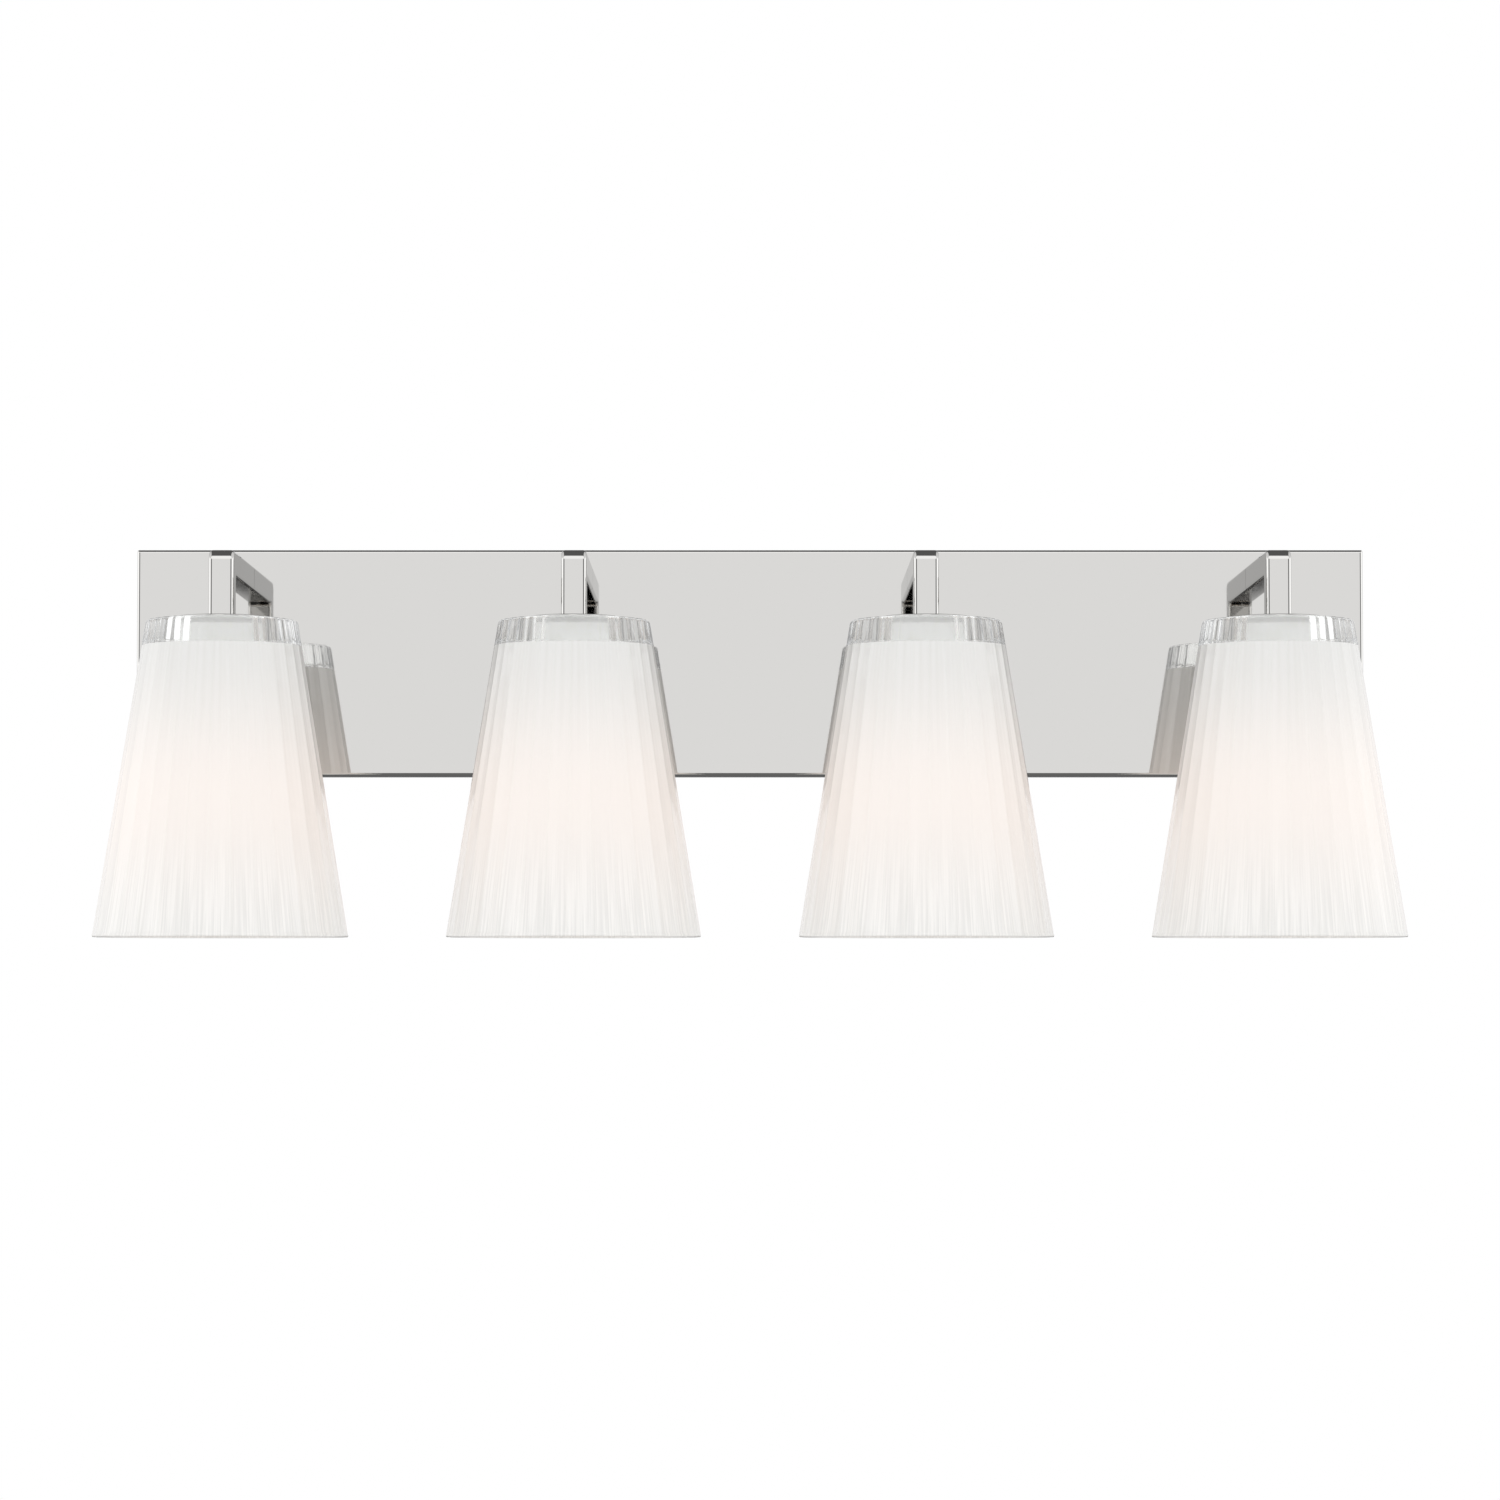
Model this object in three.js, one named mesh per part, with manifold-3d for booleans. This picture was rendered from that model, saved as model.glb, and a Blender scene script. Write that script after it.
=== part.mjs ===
// Four-light vanity bar: a polished chrome pan that covers a wall bracket, four bent square arms,
// and on each arm a lampholder that clamps a fluted glass shade round a screw-in lamp.
// Millimetres, +Z up. The wall is the plane Y = 0 and the room is at -Y.
// The origin is the middle of the bracket's back face, on the wall.
import * as THREE from "three";
import { mergeVertices } from "three/addons/utils/BufferGeometryUtils.js";
import Module from "manifold-3d";

const wasm = await Module();
wasm.setup();

// ---------------------------------------------------------------- driving dimensions

const clearance = 0.3; // between neighbouring pieces, on each side

// Lights
const lightCount = 4;
const lightSpacing = 196;
const reach = 104; // from the pan's face to a lamp's axis

// Pan
const panEnd = 61; // from an outer lamp's axis to the end of the pan
const panHeight = 131;
const panDepth = 22;
const panSheet = 1.2;

// Arm: square tube, solid for a short way at both ends, where the nipples screw in
const armSize = 14;
const armWall = 1.2;
const armEdgeRadius = 2;
const armDrop = 9.5; // from the pan's top edge to the arm's top face
const bendOuterRadius = 6;
const bendInnerRadius = 2;
const armPlug = 12;

// Threaded nipples, their nuts, and the wiring sleeve that passes through them
const nippleRadius = 4.75;
const nippleWall = 1.5;
const nippleGrip = 10; // how far a nipple reaches into the arm
const nutAcrossCorners = 16.2;
const nutThickness = 4.3;
const sleeveClearance = 0.35;
const conductorRadius = 1.1;

// Shade: a truncated cone of fluted glass with a thick flat top
const shadeDrop = 48.5; // from the pan's top edge to the shade's top
const shadeHeight = 176.5;
const shadeTopRadius = 42;
const shadeMouthRadius = 71;
const shadeTopThickness = 15;
const shadeWall = 3.2;
const shadeShoulder = 3;
const fluteCount = 32;
const fluteDepth = 0.6;

// Lamp
const lampBaseRadius = 13.1;
const lampBaseLength = 26;
const lampTipRadius = 4.5;
const bulbRadius = 30;
const bulbWall = 1;
const lampLength = 108;
const lampShoulderAngle = 35; // degrees above the bulb's equator where the neck begins

// Screw shell and centre contact
const threadClearance = 0.8; // between the lamp's base and the shell
const shellWall = 0.6;
const shellLength = 24;
const contactRadius = 4;
const contactThickness = 1.2;

// Lampholder, its cap above the glass and its ring below
const socketWall = 3.2; // round the screw shell
const socketThread = 2; // how far the threaded collar stands out from the skirt
const socketLip = 6; // how far the skirt reaches past the shell
const socketTopWall = 5;
const socketChamberRadius = 12;
const socketChamberDepth = 8;
const socketWeb = 5;
const socketClearance = 1; // between the lampholder and the hole in the glass
const capOverlap = 4; // how far the cap covers the glass round the hole
const capThickness = 1.5;
const ringWidth = 4.6;
const ringThickness = 5;
const spareThread = 4; // length of collar that shows below the ring

// Bracket
const bracketHeight = 38;
const bracketSheet = 1.6;
const tabWidth = 24;
const tabDepth = 16;
const slotCentre = 40; // from the middle to the centre of each box-screw slot
const slotLength = 14;
const slotWidth = 5;

// Screws
const screwRadius = 2;
const screwHeadRadius = 4;
const screwHeadHeight = 2.4;
const panScrewLength = 7;
const panScrewDepth = 10; // from the wall to the screw's axis
const groundScrewX = 66;

// Twist-on wire connectors
const connectorOffset = 16; // from the middle to each connector's axis
const connectorMouthZ = 22;
const connectorRadius = 7;
const connectorWall = 1.2;
const connectorLength = 26;
const connectorGrip = 12; // depth of its mouth
const conductorPitch = 2.8; // between conductors that lie side by side in a connector
const connectorGap = 1.2; // between the live connector and the pan's face
const planePitch = 3.4; // between the live and the neutral conductors
const laneDrop = 8; // from a connector's mouth up to the outer lights' conductors

// ---------------------------------------------------------------- worked-out places

const panTop = panHeight / 2;
const panWidth = (lightCount - 1) * lightSpacing + 2 * panEnd;
const panFace = -panDepth;
const panInside = panFace + panSheet;
const armTop = panTop - armDrop;
const armAxisZ = armTop - armSize / 2;
const axisY = panFace - reach;
const shadeTop = panTop - shadeDrop;
const postFoot = capThickness + 2 * clearance; // above the shade's top
const nippleHole = nippleRadius + clearance;
const sleeveRadius = nippleRadius - nippleWall - sleeveClearance;
const conductorOffset = sleeveRadius - conductorRadius - 0.2; // from the sleeve's axis
const shellInner = lampBaseRadius + threadClearance;
const shellRadius = shellInner + shellWall;
const cavityRadius = shellRadius + clearance;
const socketSkirtRadius = cavityRadius + socketWall;
const socketRadius = socketSkirtRadius + socketThread;
const socketCollar = shadeTopThickness + ringThickness + spareThread;
const holeRadius = socketRadius + socketClearance;
const capRadius = holeRadius + capOverlap;
const webTop = -socketTopWall - socketChamberDepth;
const webBottom = webTop - socketWeb;
const socketFoot = webBottom - shellLength - socketLip;
const contactTop = webBottom - clearance;
const lampTip = contactTop - contactThickness - 2 * clearance;
const bulbCentre = lampTip - lampLength + bulbRadius;
const bulbNeckRadius = lampBaseRadius - clearance;
const neckTop = lampTip - lampBaseLength - clearance;
const bracketLength = lightSpacing + tabWidth;
const livePlane = panInside + connectorRadius + connectorGap;
const neutralPlane = livePlane + planePitch;
const sides = 12; // of small round pieces
const roundSides = 24; // of large ones

function lightX(index) {
  return (index - (lightCount - 1) / 2) * lightSpacing;
}

// ---------------------------------------------------------------- solids

// A closed three.js geometry as a solid that can be joined and cut.
function solid(geometry) {
  const bare = geometry.clone();
  bare.deleteAttribute("normal");
  bare.deleteAttribute("uv");
  const merged = mergeVertices(bare, 1e-4);
  const mesh = new wasm.Mesh({
    numProp: 3,
    vertProperties: merged.attributes.position.array,
    triVerts: new Uint32Array(merged.index.array),
  });
  return new wasm.Manifold(mesh);
}

function geometryOf(body) {
  const mesh = body.getMesh();
  const position = new THREE.BufferAttribute(mesh.vertProperties, 3);
  const geometry = new THREE.BufferGeometry();
  geometry.setAttribute("position", position);
  geometry.setIndex(new THREE.BufferAttribute(mesh.triVerts, 1));
  geometry.computeVertexNormals();
  return geometry;
}

function boxBetween([x0, y0, z0], [x1, y1, z1]) {
  const box = new THREE.BoxGeometry(x1 - x0, y1 - y0, z1 - z0);
  return box.translate((x0 + x1) / 2, (y0 + y1) / 2, (z0 + z1) / 2);
}

// A rod from one point to another.
function rod(start, end, radius, segments = sides) {
  const from = new THREE.Vector3(...start);
  const way = new THREE.Vector3(...end).sub(from);
  const cylinder = new THREE.CylinderGeometry(radius, radius, way.length(), segments);
  cylinder.translate(0, way.length() / 2, 0);
  const turn = new THREE.Quaternion();
  turn.setFromUnitVectors(new THREE.Vector3(0, 1, 0), way.normalize());
  return cylinder.applyQuaternion(turn).translate(...start);
}

// A profile of [radius, height] points turned about the Z axis.
function turned(profile, segments = roundSides) {
  const points = profile.map(([radius, height]) => new THREE.Vector2(radius, height));
  if (THREE.ShapeUtils.area(points) < 0) points.reverse();
  return new THREE.LatheGeometry(points, segments).rotateX(Math.PI / 2);
}

// A ring's profile closes on itself.
function turnedRing(profile, segments = roundSides) {
  return turned([...profile, profile[0]], segments);
}

// ---------------------------------------------------------------- materials

function finish(color, roughness, metalness, extra = {}) {
  return new THREE.MeshStandardMaterial({ color, roughness, metalness, ...extra });
}

const chrome = finish(0xd9dadb, 0.05, 1);
const zincSteel = finish(0xb4b6b3, 0.4, 1);
const nickelSteel = finish(0xc9c6bd, 0.3, 1);
const brass = finish(0xc9a55a, 0.35, 1);
const whitePlastic = finish(0xf1f0ec, 0.45, 0);
const opalGlass = finish(0xf3f2ee, 0.12, 0, { transparent: true, opacity: 0.95 });
const frostedGlass = finish(0xfff3e2, 0.5, 0, { emissive: 0xffd9ad });
const greenScrew = finish(0x3f7d46, 0.4, 0.8);
const orangePlastic = finish(0xd9772b, 0.5, 0);
const greyPlastic = finish(0x8d9296, 0.5, 0);
const sleeving = finish(0xe9e4d8, 0.8, 0);
const greenSheath = finish(0x3d8a4c, 0.55, 0);

function piece(name, geometry, material) {
  const mesh = new THREE.Mesh(geometry, material);
  mesh.name = name;
  return mesh;
}

// ---------------------------------------------------------------- pan and bracket

// The folded pan: a face and four walls, open at the back, with a hole for each arm's nipple
// and two holes in the bottom wall for the screws that hold it to the bracket.
function panGeometry() {
  const outside = boxBetween([-panWidth / 2, panFace, -panTop], [panWidth / 2, 0, panTop]);
  const inside = boxBetween(
    [-panWidth / 2 + panSheet, panInside, -panTop + panSheet],
    [panWidth / 2 - panSheet, 1, panTop - panSheet],
  );
  let pan = solid(outside).subtract(solid(inside));
  for (let index = 0; index < lightCount; index++) {
    const x = lightX(index);
    const hole = rod([x, panFace - 1, armAxisZ], [x, panInside + 1, armAxisZ], nippleHole);
    pan = pan.subtract(solid(hole));
  }
  for (const side of [-1, 1]) pan = pan.subtract(panScrewHole(side));
  return geometryOf(pan);
}

// The two pan screws stand behind the two inner shades.
function panScrewX(side) {
  return (side * lightSpacing) / 2;
}

function panScrewHole(side) {
  const x = panScrewX(side);
  const low = [x, -panScrewDepth, -panTop - 1];
  const high = [x, -panScrewDepth, -panTop + panSheet + clearance + bracketSheet + 1];
  return solid(rod(low, high, screwRadius + clearance));
}

// The bracket: a strip on the wall with a tab above and below at each end. Each tab runs along
// the wall to the pan's wall and turns forward under it. The pan rests on the upper tabs.
function bracketGeometry() {
  const half = bracketHeight / 2;
  const reachZ = panTop - panSheet - clearance;
  const strip = boxBetween([-bracketLength / 2, -bracketSheet, -half], [bracketLength / 2, 0, half]);
  let bracket = solid(strip);
  for (const side of [-1, 1]) {
    const x0 = panScrewX(side) - tabWidth / 2;
    const x1 = panScrewX(side) + tabWidth / 2;
    const web = boxBetween([x0, -bracketSheet, -reachZ], [x1, 0, reachZ]);
    const upper = boxBetween([x0, -tabDepth, reachZ - bracketSheet], [x1, 0, reachZ]);
    const lower = boxBetween([x0, -tabDepth, -reachZ], [x1, 0, -reachZ + bracketSheet]);
    bracket = bracket.add(solid(web)).add(solid(upper)).add(solid(lower));
  }
  for (const side of [-1, 1]) {
    bracket = bracket.subtract(panScrewHole(side)).subtract(boxScrewSlot(side));
  }
  const groundHole = rod([groundScrewX, -tabDepth, 0], [groundScrewX, 1, 0], screwRadius + clearance);
  return geometryOf(bracket.subtract(solid(groundHole)));
}

// A round-ended slot through the strip for a screw of the box in the wall.
function boxScrewSlot(side) {
  const radius = slotWidth / 2;
  const inner = side * slotCentre - (slotLength / 2 - radius);
  const outer = side * slotCentre + (slotLength / 2 - radius);
  const ends = [inner, outer].map((x) => solid(rod([x, -tabDepth, 0], [x, 1, 0], radius)));
  const middle = boxBetween([inner, -tabDepth, -radius], [outer, 1, radius]);
  return ends[0].add(ends[1]).add(solid(middle));
}

// A pan-head screw with a cross recess, its head's seat at the origin and its shank along +Z.
function screwGeometry(length) {
  const profile = [
    [0, -screwHeadHeight],
    [screwHeadRadius * 0.7, -screwHeadHeight],
    [screwHeadRadius, -screwHeadHeight * 0.5],
    [screwHeadRadius, 0],
    [screwRadius, 0],
    [screwRadius, length],
    [0, length],
  ];
  const recessDepth = screwHeadHeight * 0.5;
  const slit = 0.5;
  const arm = screwHeadRadius * 0.55;
  const low = -screwHeadHeight - 1;
  const high = -screwHeadHeight + recessDepth;
  const slits = [
    boxBetween([-arm, -slit, low], [arm, slit, high]),
    boxBetween([-slit, -arm, low], [slit, arm, high]),
  ];
  const screw = slits.reduce((body, cut) => body.subtract(solid(cut)), solid(turned(profile, sides)));
  return geometryOf(screw);
}

function panScrew(name, side) {
  const screw = piece(name, screwGeometry(panScrewLength), zincSteel);
  screw.position.set(panScrewX(side), -panScrewDepth, -panTop - clearance);
  return screw;
}

function groundScrew() {
  const screw = piece("ground_screw", screwGeometry(bracketSheet), greenScrew);
  screw.position.set(groundScrewX, -bracketSheet - clearance, 0);
  screw.rotation.x = -Math.PI / 2;
  return screw;
}

// ---------------------------------------------------------------- arm

// The side outline of the bent arm. First axis: forward from the pan's face. Second: height.
// inset shrinks the outline on its long sides, and back and foot are where its two ends lie.
function armOutline(inset, back, foot) {
  const top = armTop - inset;
  const under = armTop - armSize + inset;
  const front = reach + armSize / 2 - inset;
  const rear = reach - armSize / 2 + inset;
  const outer = bendOuterRadius - inset;
  const inner = bendInnerRadius + inset;
  const outline = new THREE.Shape();
  outline.moveTo(back, under);
  outline.lineTo(rear - inner, under);
  outline.absarc(rear - inner, under - inner, inner, Math.PI / 2, 0, true);
  outline.lineTo(rear, foot);
  outline.lineTo(front, foot);
  outline.lineTo(front, top - outer);
  outline.absarc(front - outer, top - outer, outer, 0, Math.PI / 2, false);
  outline.lineTo(back, top);
  outline.closePath();
  return outline;
}

// Turns an extruded side outline so that its first axis points out of the wall.
function standArm(geometry) {
  const out = new THREE.Vector3(0, -1, 0);
  const up = new THREE.Vector3(0, 0, 1);
  const across = new THREE.Vector3(-1, 0, 0);
  geometry.applyMatrix4(new THREE.Matrix4().makeBasis(out, up, across));
  return geometry.translate(0, panFace, 0);
}

function armGeometry() {
  const spare = 5; // the outline runs past both ends and is cut square there
  const foot = shadeTop + postFoot;
  const body = new THREE.ExtrudeGeometry(armOutline(0, -spare, foot - spare), {
    depth: armSize - 2 * armEdgeRadius,
    bevelThickness: armEdgeRadius,
    bevelSize: armEdgeRadius,
    bevelOffset: -armEdgeRadius,
    bevelSegments: 2,
    curveSegments: 5,
  });
  body.translate(0, 0, -(armSize - 2 * armEdgeRadius) / 2);
  const limits = boxBetween(
    [-armSize, axisY - armSize, foot],
    [armSize, panFace - clearance, armTop + 1],
  );
  const bore = new THREE.ExtrudeGeometry(armOutline(armWall, armPlug, foot + armPlug), {
    depth: armSize - 2 * armWall,
    bevelEnabled: false,
    curveSegments: 4,
  });
  bore.translate(0, 0, -(armSize - 2 * armWall) / 2);
  const backHole = rod([0, panFace + 1, armAxisZ], [0, panFace - armPlug - 1, armAxisZ], nippleHole);
  const footHole = rod([0, axisY, foot - 1], [0, axisY, foot + armPlug + 1], nippleHole);
  const hollow = solid(standArm(bore)).add(solid(backHole)).add(solid(footHole));
  return geometryOf(solid(standArm(body)).intersect(solid(limits)).subtract(hollow));
}

function nippleGeometry(low, high) {
  const inner = nippleRadius - nippleWall;
  return turnedRing([[inner, low], [nippleRadius, low], [nippleRadius, high], [inner, high]], sides);
}

// A hexagon nut along Z, its seat at the origin.
function nutGeometry() {
  const hexagon = rod([0, 0, 0], [0, 0, nutThickness], nutAcrossCorners / 2, 6);
  const hole = rod([0, 0, -1], [0, 0, nutThickness + 1], nippleHole);
  return geometryOf(solid(hexagon).subtract(solid(hole)));
}

// ---------------------------------------------------------------- shade

function shadeRadiusAt(depth) {
  return shadeTopRadius + ((shadeMouthRadius - shadeTopRadius) * depth) / shadeHeight;
}

// The shade hangs from its flat top at height 0. Every second edge of its outside is pressed in,
// which makes one flute between each pair of ridges.
function shadeGeometry() {
  const shade = turnedRing(
    [
      [holeRadius, 0],
      [shadeTopRadius - shadeShoulder, 0],
      [shadeRadiusAt(shadeShoulder), -shadeShoulder],
      [shadeMouthRadius, -shadeHeight],
      [shadeMouthRadius - shadeWall, -shadeHeight],
      [shadeRadiusAt(shadeTopThickness) - shadeWall, -shadeTopThickness],
      [holeRadius, -shadeTopThickness],
    ],
    2 * fluteCount,
  );
  const position = shade.attributes.position;
  for (let index = 0; index < position.count; index++) {
    const x = position.getX(index);
    const y = position.getY(index);
    const radius = Math.hypot(x, y);
    const edge = Math.round((Math.atan2(y, x) / Math.PI) * fluteCount);
    const outside = radius > shadeRadiusAt(-position.getZ(index)) - shadeWall / 2;
    if (outside && edge % 2 !== 0) {
      const pressed = 1 - fluteDepth / radius;
      position.setXY(index, x * pressed, y * pressed);
    }
  }
  return shade;
}

// ---------------------------------------------------------------- lampholder and lamp

function capGeometry() {
  const low = clearance;
  const high = clearance + capThickness;
  const edge = capThickness / 3;
  return turnedRing([
    [nippleHole, low],
    [capRadius, low],
    [capRadius, high - edge],
    [capRadius - edge, high],
    [nippleHole, high],
  ]);
}

function socketGeometry() {
  return turned([
    [0, webBottom],
    [cavityRadius, webBottom],
    [cavityRadius, socketFoot],
    [socketSkirtRadius, socketFoot],
    [socketSkirtRadius, -socketCollar],
    [socketRadius, -socketCollar],
    [socketRadius, 0],
    [nippleHole, 0],
    [nippleHole, -socketTopWall],
    [socketChamberRadius, -socketTopWall],
    [socketChamberRadius, webTop],
    [0, webTop],
  ]);
}

function shellGeometry() {
  const high = webBottom - clearance;
  const low = high - shellLength;
  return turnedRing([[shellInner, low], [shellRadius, low], [shellRadius, high], [shellInner, high]]);
}

function contactGeometry() {
  const low = [0, 0, contactTop - contactThickness];
  return rod(low, [0, 0, contactTop], contactRadius);
}

function ringGeometry() {
  const inner = socketRadius + clearance;
  const high = -shadeTopThickness - clearance;
  const low = high - ringThickness;
  const outer = inner + ringWidth;
  return turnedRing([[inner, low], [outer, low], [outer, high], [inner, high]]);
}

function lampBaseGeometry() {
  const tipHeight = 0.8;
  const insulator = 3.2; // from the tip down to the metal shell
  return turned(
    [
      [0, lampTip],
      [lampTipRadius, lampTip],
      [lampTipRadius, lampTip - tipHeight],
      [lampBaseRadius - 1, lampTip - insulator],
      [lampBaseRadius, lampTip - insulator - 1],
      [lampBaseRadius, lampTip - lampBaseLength],
      [0, lampTip - lampBaseLength],
    ],
    18,
  );
}

// Half of a pear-shaped outline from the bottom pole to the neck.
function bulbOutline(radius, neck) {
  const shoulder = THREE.MathUtils.degToRad(lampShoulderAngle);
  const arc = new THREE.EllipseCurve(0, bulbCentre, radius, radius, -Math.PI / 2, shoulder);
  const start = arc.getPoint(1);
  const fall = (start.x - neck) / Math.tan(shoulder);
  const control = new THREE.Vector2(neck, start.y + fall);
  const throat = new THREE.QuadraticBezierCurve(start, control, new THREE.Vector2(neck, neckTop));
  return [...arc.getPoints(6), ...throat.getPoints(3).slice(1)];
}

// The envelope is a thin shell, open at the neck.
function bulbGeometry() {
  const outside = bulbOutline(bulbRadius, bulbNeckRadius);
  const inside = bulbOutline(bulbRadius - bulbWall, bulbNeckRadius - bulbWall).reverse();
  const profile = [...outside, ...inside].map((point) => [Math.max(point.x, 0), point.y]);
  profile[0][0] = 0;
  profile[profile.length - 1][0] = 0;
  return turned(profile, 18);
}

// One light. Its own origin is on the lamp's axis, at the shade's top.
function light(index) {
  const number = index + 1;
  const group = new THREE.Group();
  group.position.set(lightX(index), axisY, shadeTop);
  group.add(piece("fitter_cap_" + number, capGeometry(), chrome));
  const nippleHigh = postFoot + nippleGrip;
  const nippleLow = -socketTopWall - 1;
  group.add(piece("socket_nipple_" + number, nippleGeometry(nippleLow, nippleHigh), zincSteel));
  group.add(piece("socket_body_" + number, socketGeometry(), whitePlastic));
  group.add(piece("screw_shell_" + number, shellGeometry(), nickelSteel));
  group.add(piece("centre_contact_" + number, contactGeometry(), brass));
  group.add(piece("shade_" + number, shadeGeometry(), opalGlass));
  group.add(piece("shade_ring_" + number, ringGeometry(), whitePlastic));
  group.add(piece("lamp_base_" + number, lampBaseGeometry(), nickelSteel));
  group.add(piece("lamp_bulb_" + number, bulbGeometry(), frostedGlass));
  return group;
}

// The arm with the nipple and nut that hold it to the pan.
function armAssembly(index) {
  const number = index + 1;
  const group = new THREE.Group();
  group.position.x = lightX(index);
  group.add(piece("arm_" + number, armGeometry(), chrome));
  const nutSeat = panInside + clearance;
  const back = nutSeat + nutThickness + clearance;
  const front = panFace - nippleGrip;
  const nipple = piece("arm_nipple_" + number, nippleGeometry(front, back), zincSteel);
  nipple.position.z = armAxisZ;
  nipple.rotation.x = -Math.PI / 2;
  const nut = piece("arm_nut_" + number, nutGeometry(), zincSteel);
  nut.position.set(0, nutSeat, armAxisZ);
  nut.rotation.x = -Math.PI / 2;
  group.add(nipple, nut);
  return group;
}

// ---------------------------------------------------------------- wiring

// A round wire through a list of corners. Each straight length runs a little past its corners,
// so that neighbouring lengths run into each other.
function wire(corners, radius, segments = 8) {
  const points = corners.map((corner) => new THREE.Vector3(...corner));
  const lengths = points.slice(1).map((end, index) => {
    const start = points[index];
    const past = end.clone().sub(start).setLength(radius * 0.7);
    const first = index === 0 ? start : start.clone().sub(past);
    const last = index === points.length - 2 ? end : end.clone().add(past);
    return solid(rod(first.toArray(), last.toArray(), radius, segments));
  });
  return lengths.reduce((body, length) => body.add(length));
}

// One light's lead: a sleeve from the lampholder through the arm, and past it the live and the
// neutral conductor, each to its own place in its connector.
function leadGeometry(index) {
  const x = lightX(index);
  const side = Math.sign(x);
  const bend = 4;
  const sleeveEnd = panInside + nutThickness + 1.2;
  const sleeve = wire(
    [
      [x, axisY, shadeTop - socketTopWall - socketChamberDepth / 2],
      [x, axisY, armAxisZ - bend],
      [x, axisY + bend, armAxisZ],
      [x, sleeveEnd, armAxisZ],
    ],
    sleeveRadius,
  );
  const live = conductor(index, -side * conductorOffset, sleeveEnd, livePlane, -connectorOffset);
  const neutral = conductor(index, side * conductorOffset, sleeveEnd, neutralPlane, connectorOffset);
  return geometryOf(sleeve.add(live).add(neutral));
}

// Conductors from the outer lights drop to a lower lane before they pass the inner lights' nuts.
function conductor(index, offset, sleeveEnd, plane, connectorX) {
  const x = lightX(index);
  const side = Math.sign(x);
  const isOuter = Math.abs(x) > lightSpacing;
  const place = connectorX + (index - (lightCount - 1) / 2) * conductorPitch;
  const lane = isOuter ? connectorMouthZ + laneDrop : armAxisZ;
  const dropStart = x - side * lightSpacing * 0.2;
  const dropEnd = x - side * lightSpacing * 0.4;
  const drop = isOuter ? [[dropStart, plane, armAxisZ], [dropEnd, plane, lane]] : [];
  const corners = [
    [x + offset, sleeveEnd - 1, armAxisZ],
    [x + offset, plane, armAxisZ],
    ...drop,
    [place, plane, lane],
    [place, plane, connectorMouthZ - connectorGrip * 0.7],
  ];
  return wire(corners, conductorRadius, 6);
}

// A twist-on connector, open at the top and closed at its tip.
function connectorGeometry() {
  const inner = connectorRadius - connectorWall;
  return turned(
    [
      [0, -connectorLength],
      [connectorRadius * 0.5, -connectorLength],
      [connectorRadius * 0.65, -connectorLength + 2],
      [connectorRadius, -connectorGrip * 0.7],
      [connectorRadius, 0],
      [inner, 0],
      [inner, -connectorGrip],
      [0, -connectorGrip],
    ],
    sides,
  );
}

function connector(name, x, plane, material) {
  const mesh = piece(name, connectorGeometry(), material);
  mesh.position.set(x, plane, connectorMouthZ);
  return mesh;
}

// The bonding wire from the bracket's green screw to the nut of the nearest arm on that side.
function groundWireGeometry() {
  const nutX = lightSpacing / 2;
  const plane = (panInside + neutralPlane) / 2;
  const start = [groundScrewX, plane, -screwHeadRadius * 0.5];
  const rise = [groundScrewX + 12, plane, 12];
  const beside = [nutX - nutAcrossCorners / 2 - 3, plane - 2, armAxisZ - nutAcrossCorners / 2 - 6];
  const end = [nutX - 2, panInside + nutThickness / 2, armAxisZ - nutAcrossCorners / 2 - 1.6];
  return geometryOf(wire([start, rise, beside, end], conductorRadius, 6));
}

// ---------------------------------------------------------------- assembly

const vanityBar = new THREE.Group();
vanityBar.add(piece("backplate_pan", panGeometry(), chrome));
vanityBar.add(piece("mounting_bracket", bracketGeometry(), zincSteel));
vanityBar.add(panScrew("pan_screw_left", -1), panScrew("pan_screw_right", 1));
vanityBar.add(groundScrew());
vanityBar.add(piece("ground_wire", groundWireGeometry(), greenSheath));
vanityBar.add(connector("wire_connector_live", -connectorOffset, livePlane, orangePlastic));
vanityBar.add(connector("wire_connector_neutral", connectorOffset, neutralPlane, greyPlastic));
for (let index = 0; index < lightCount; index++) {
  vanityBar.add(armAssembly(index));
  vanityBar.add(light(index));
  vanityBar.add(piece("lead_" + (index + 1), leadGeometry(index), sleeving));
}

export default vanityBar;
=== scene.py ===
"""A four-light vanity bar: chrome pan, bent square arms, fluted opal glass shades, lamps and wiring.

Sizes are in millimetres until they reach a mesh. Heights and depths of one light are counted from
its lamp's axis and from the top of its shade.
"""

import math

import bmesh
import bpy
from mathutils import Matrix, Vector


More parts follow.
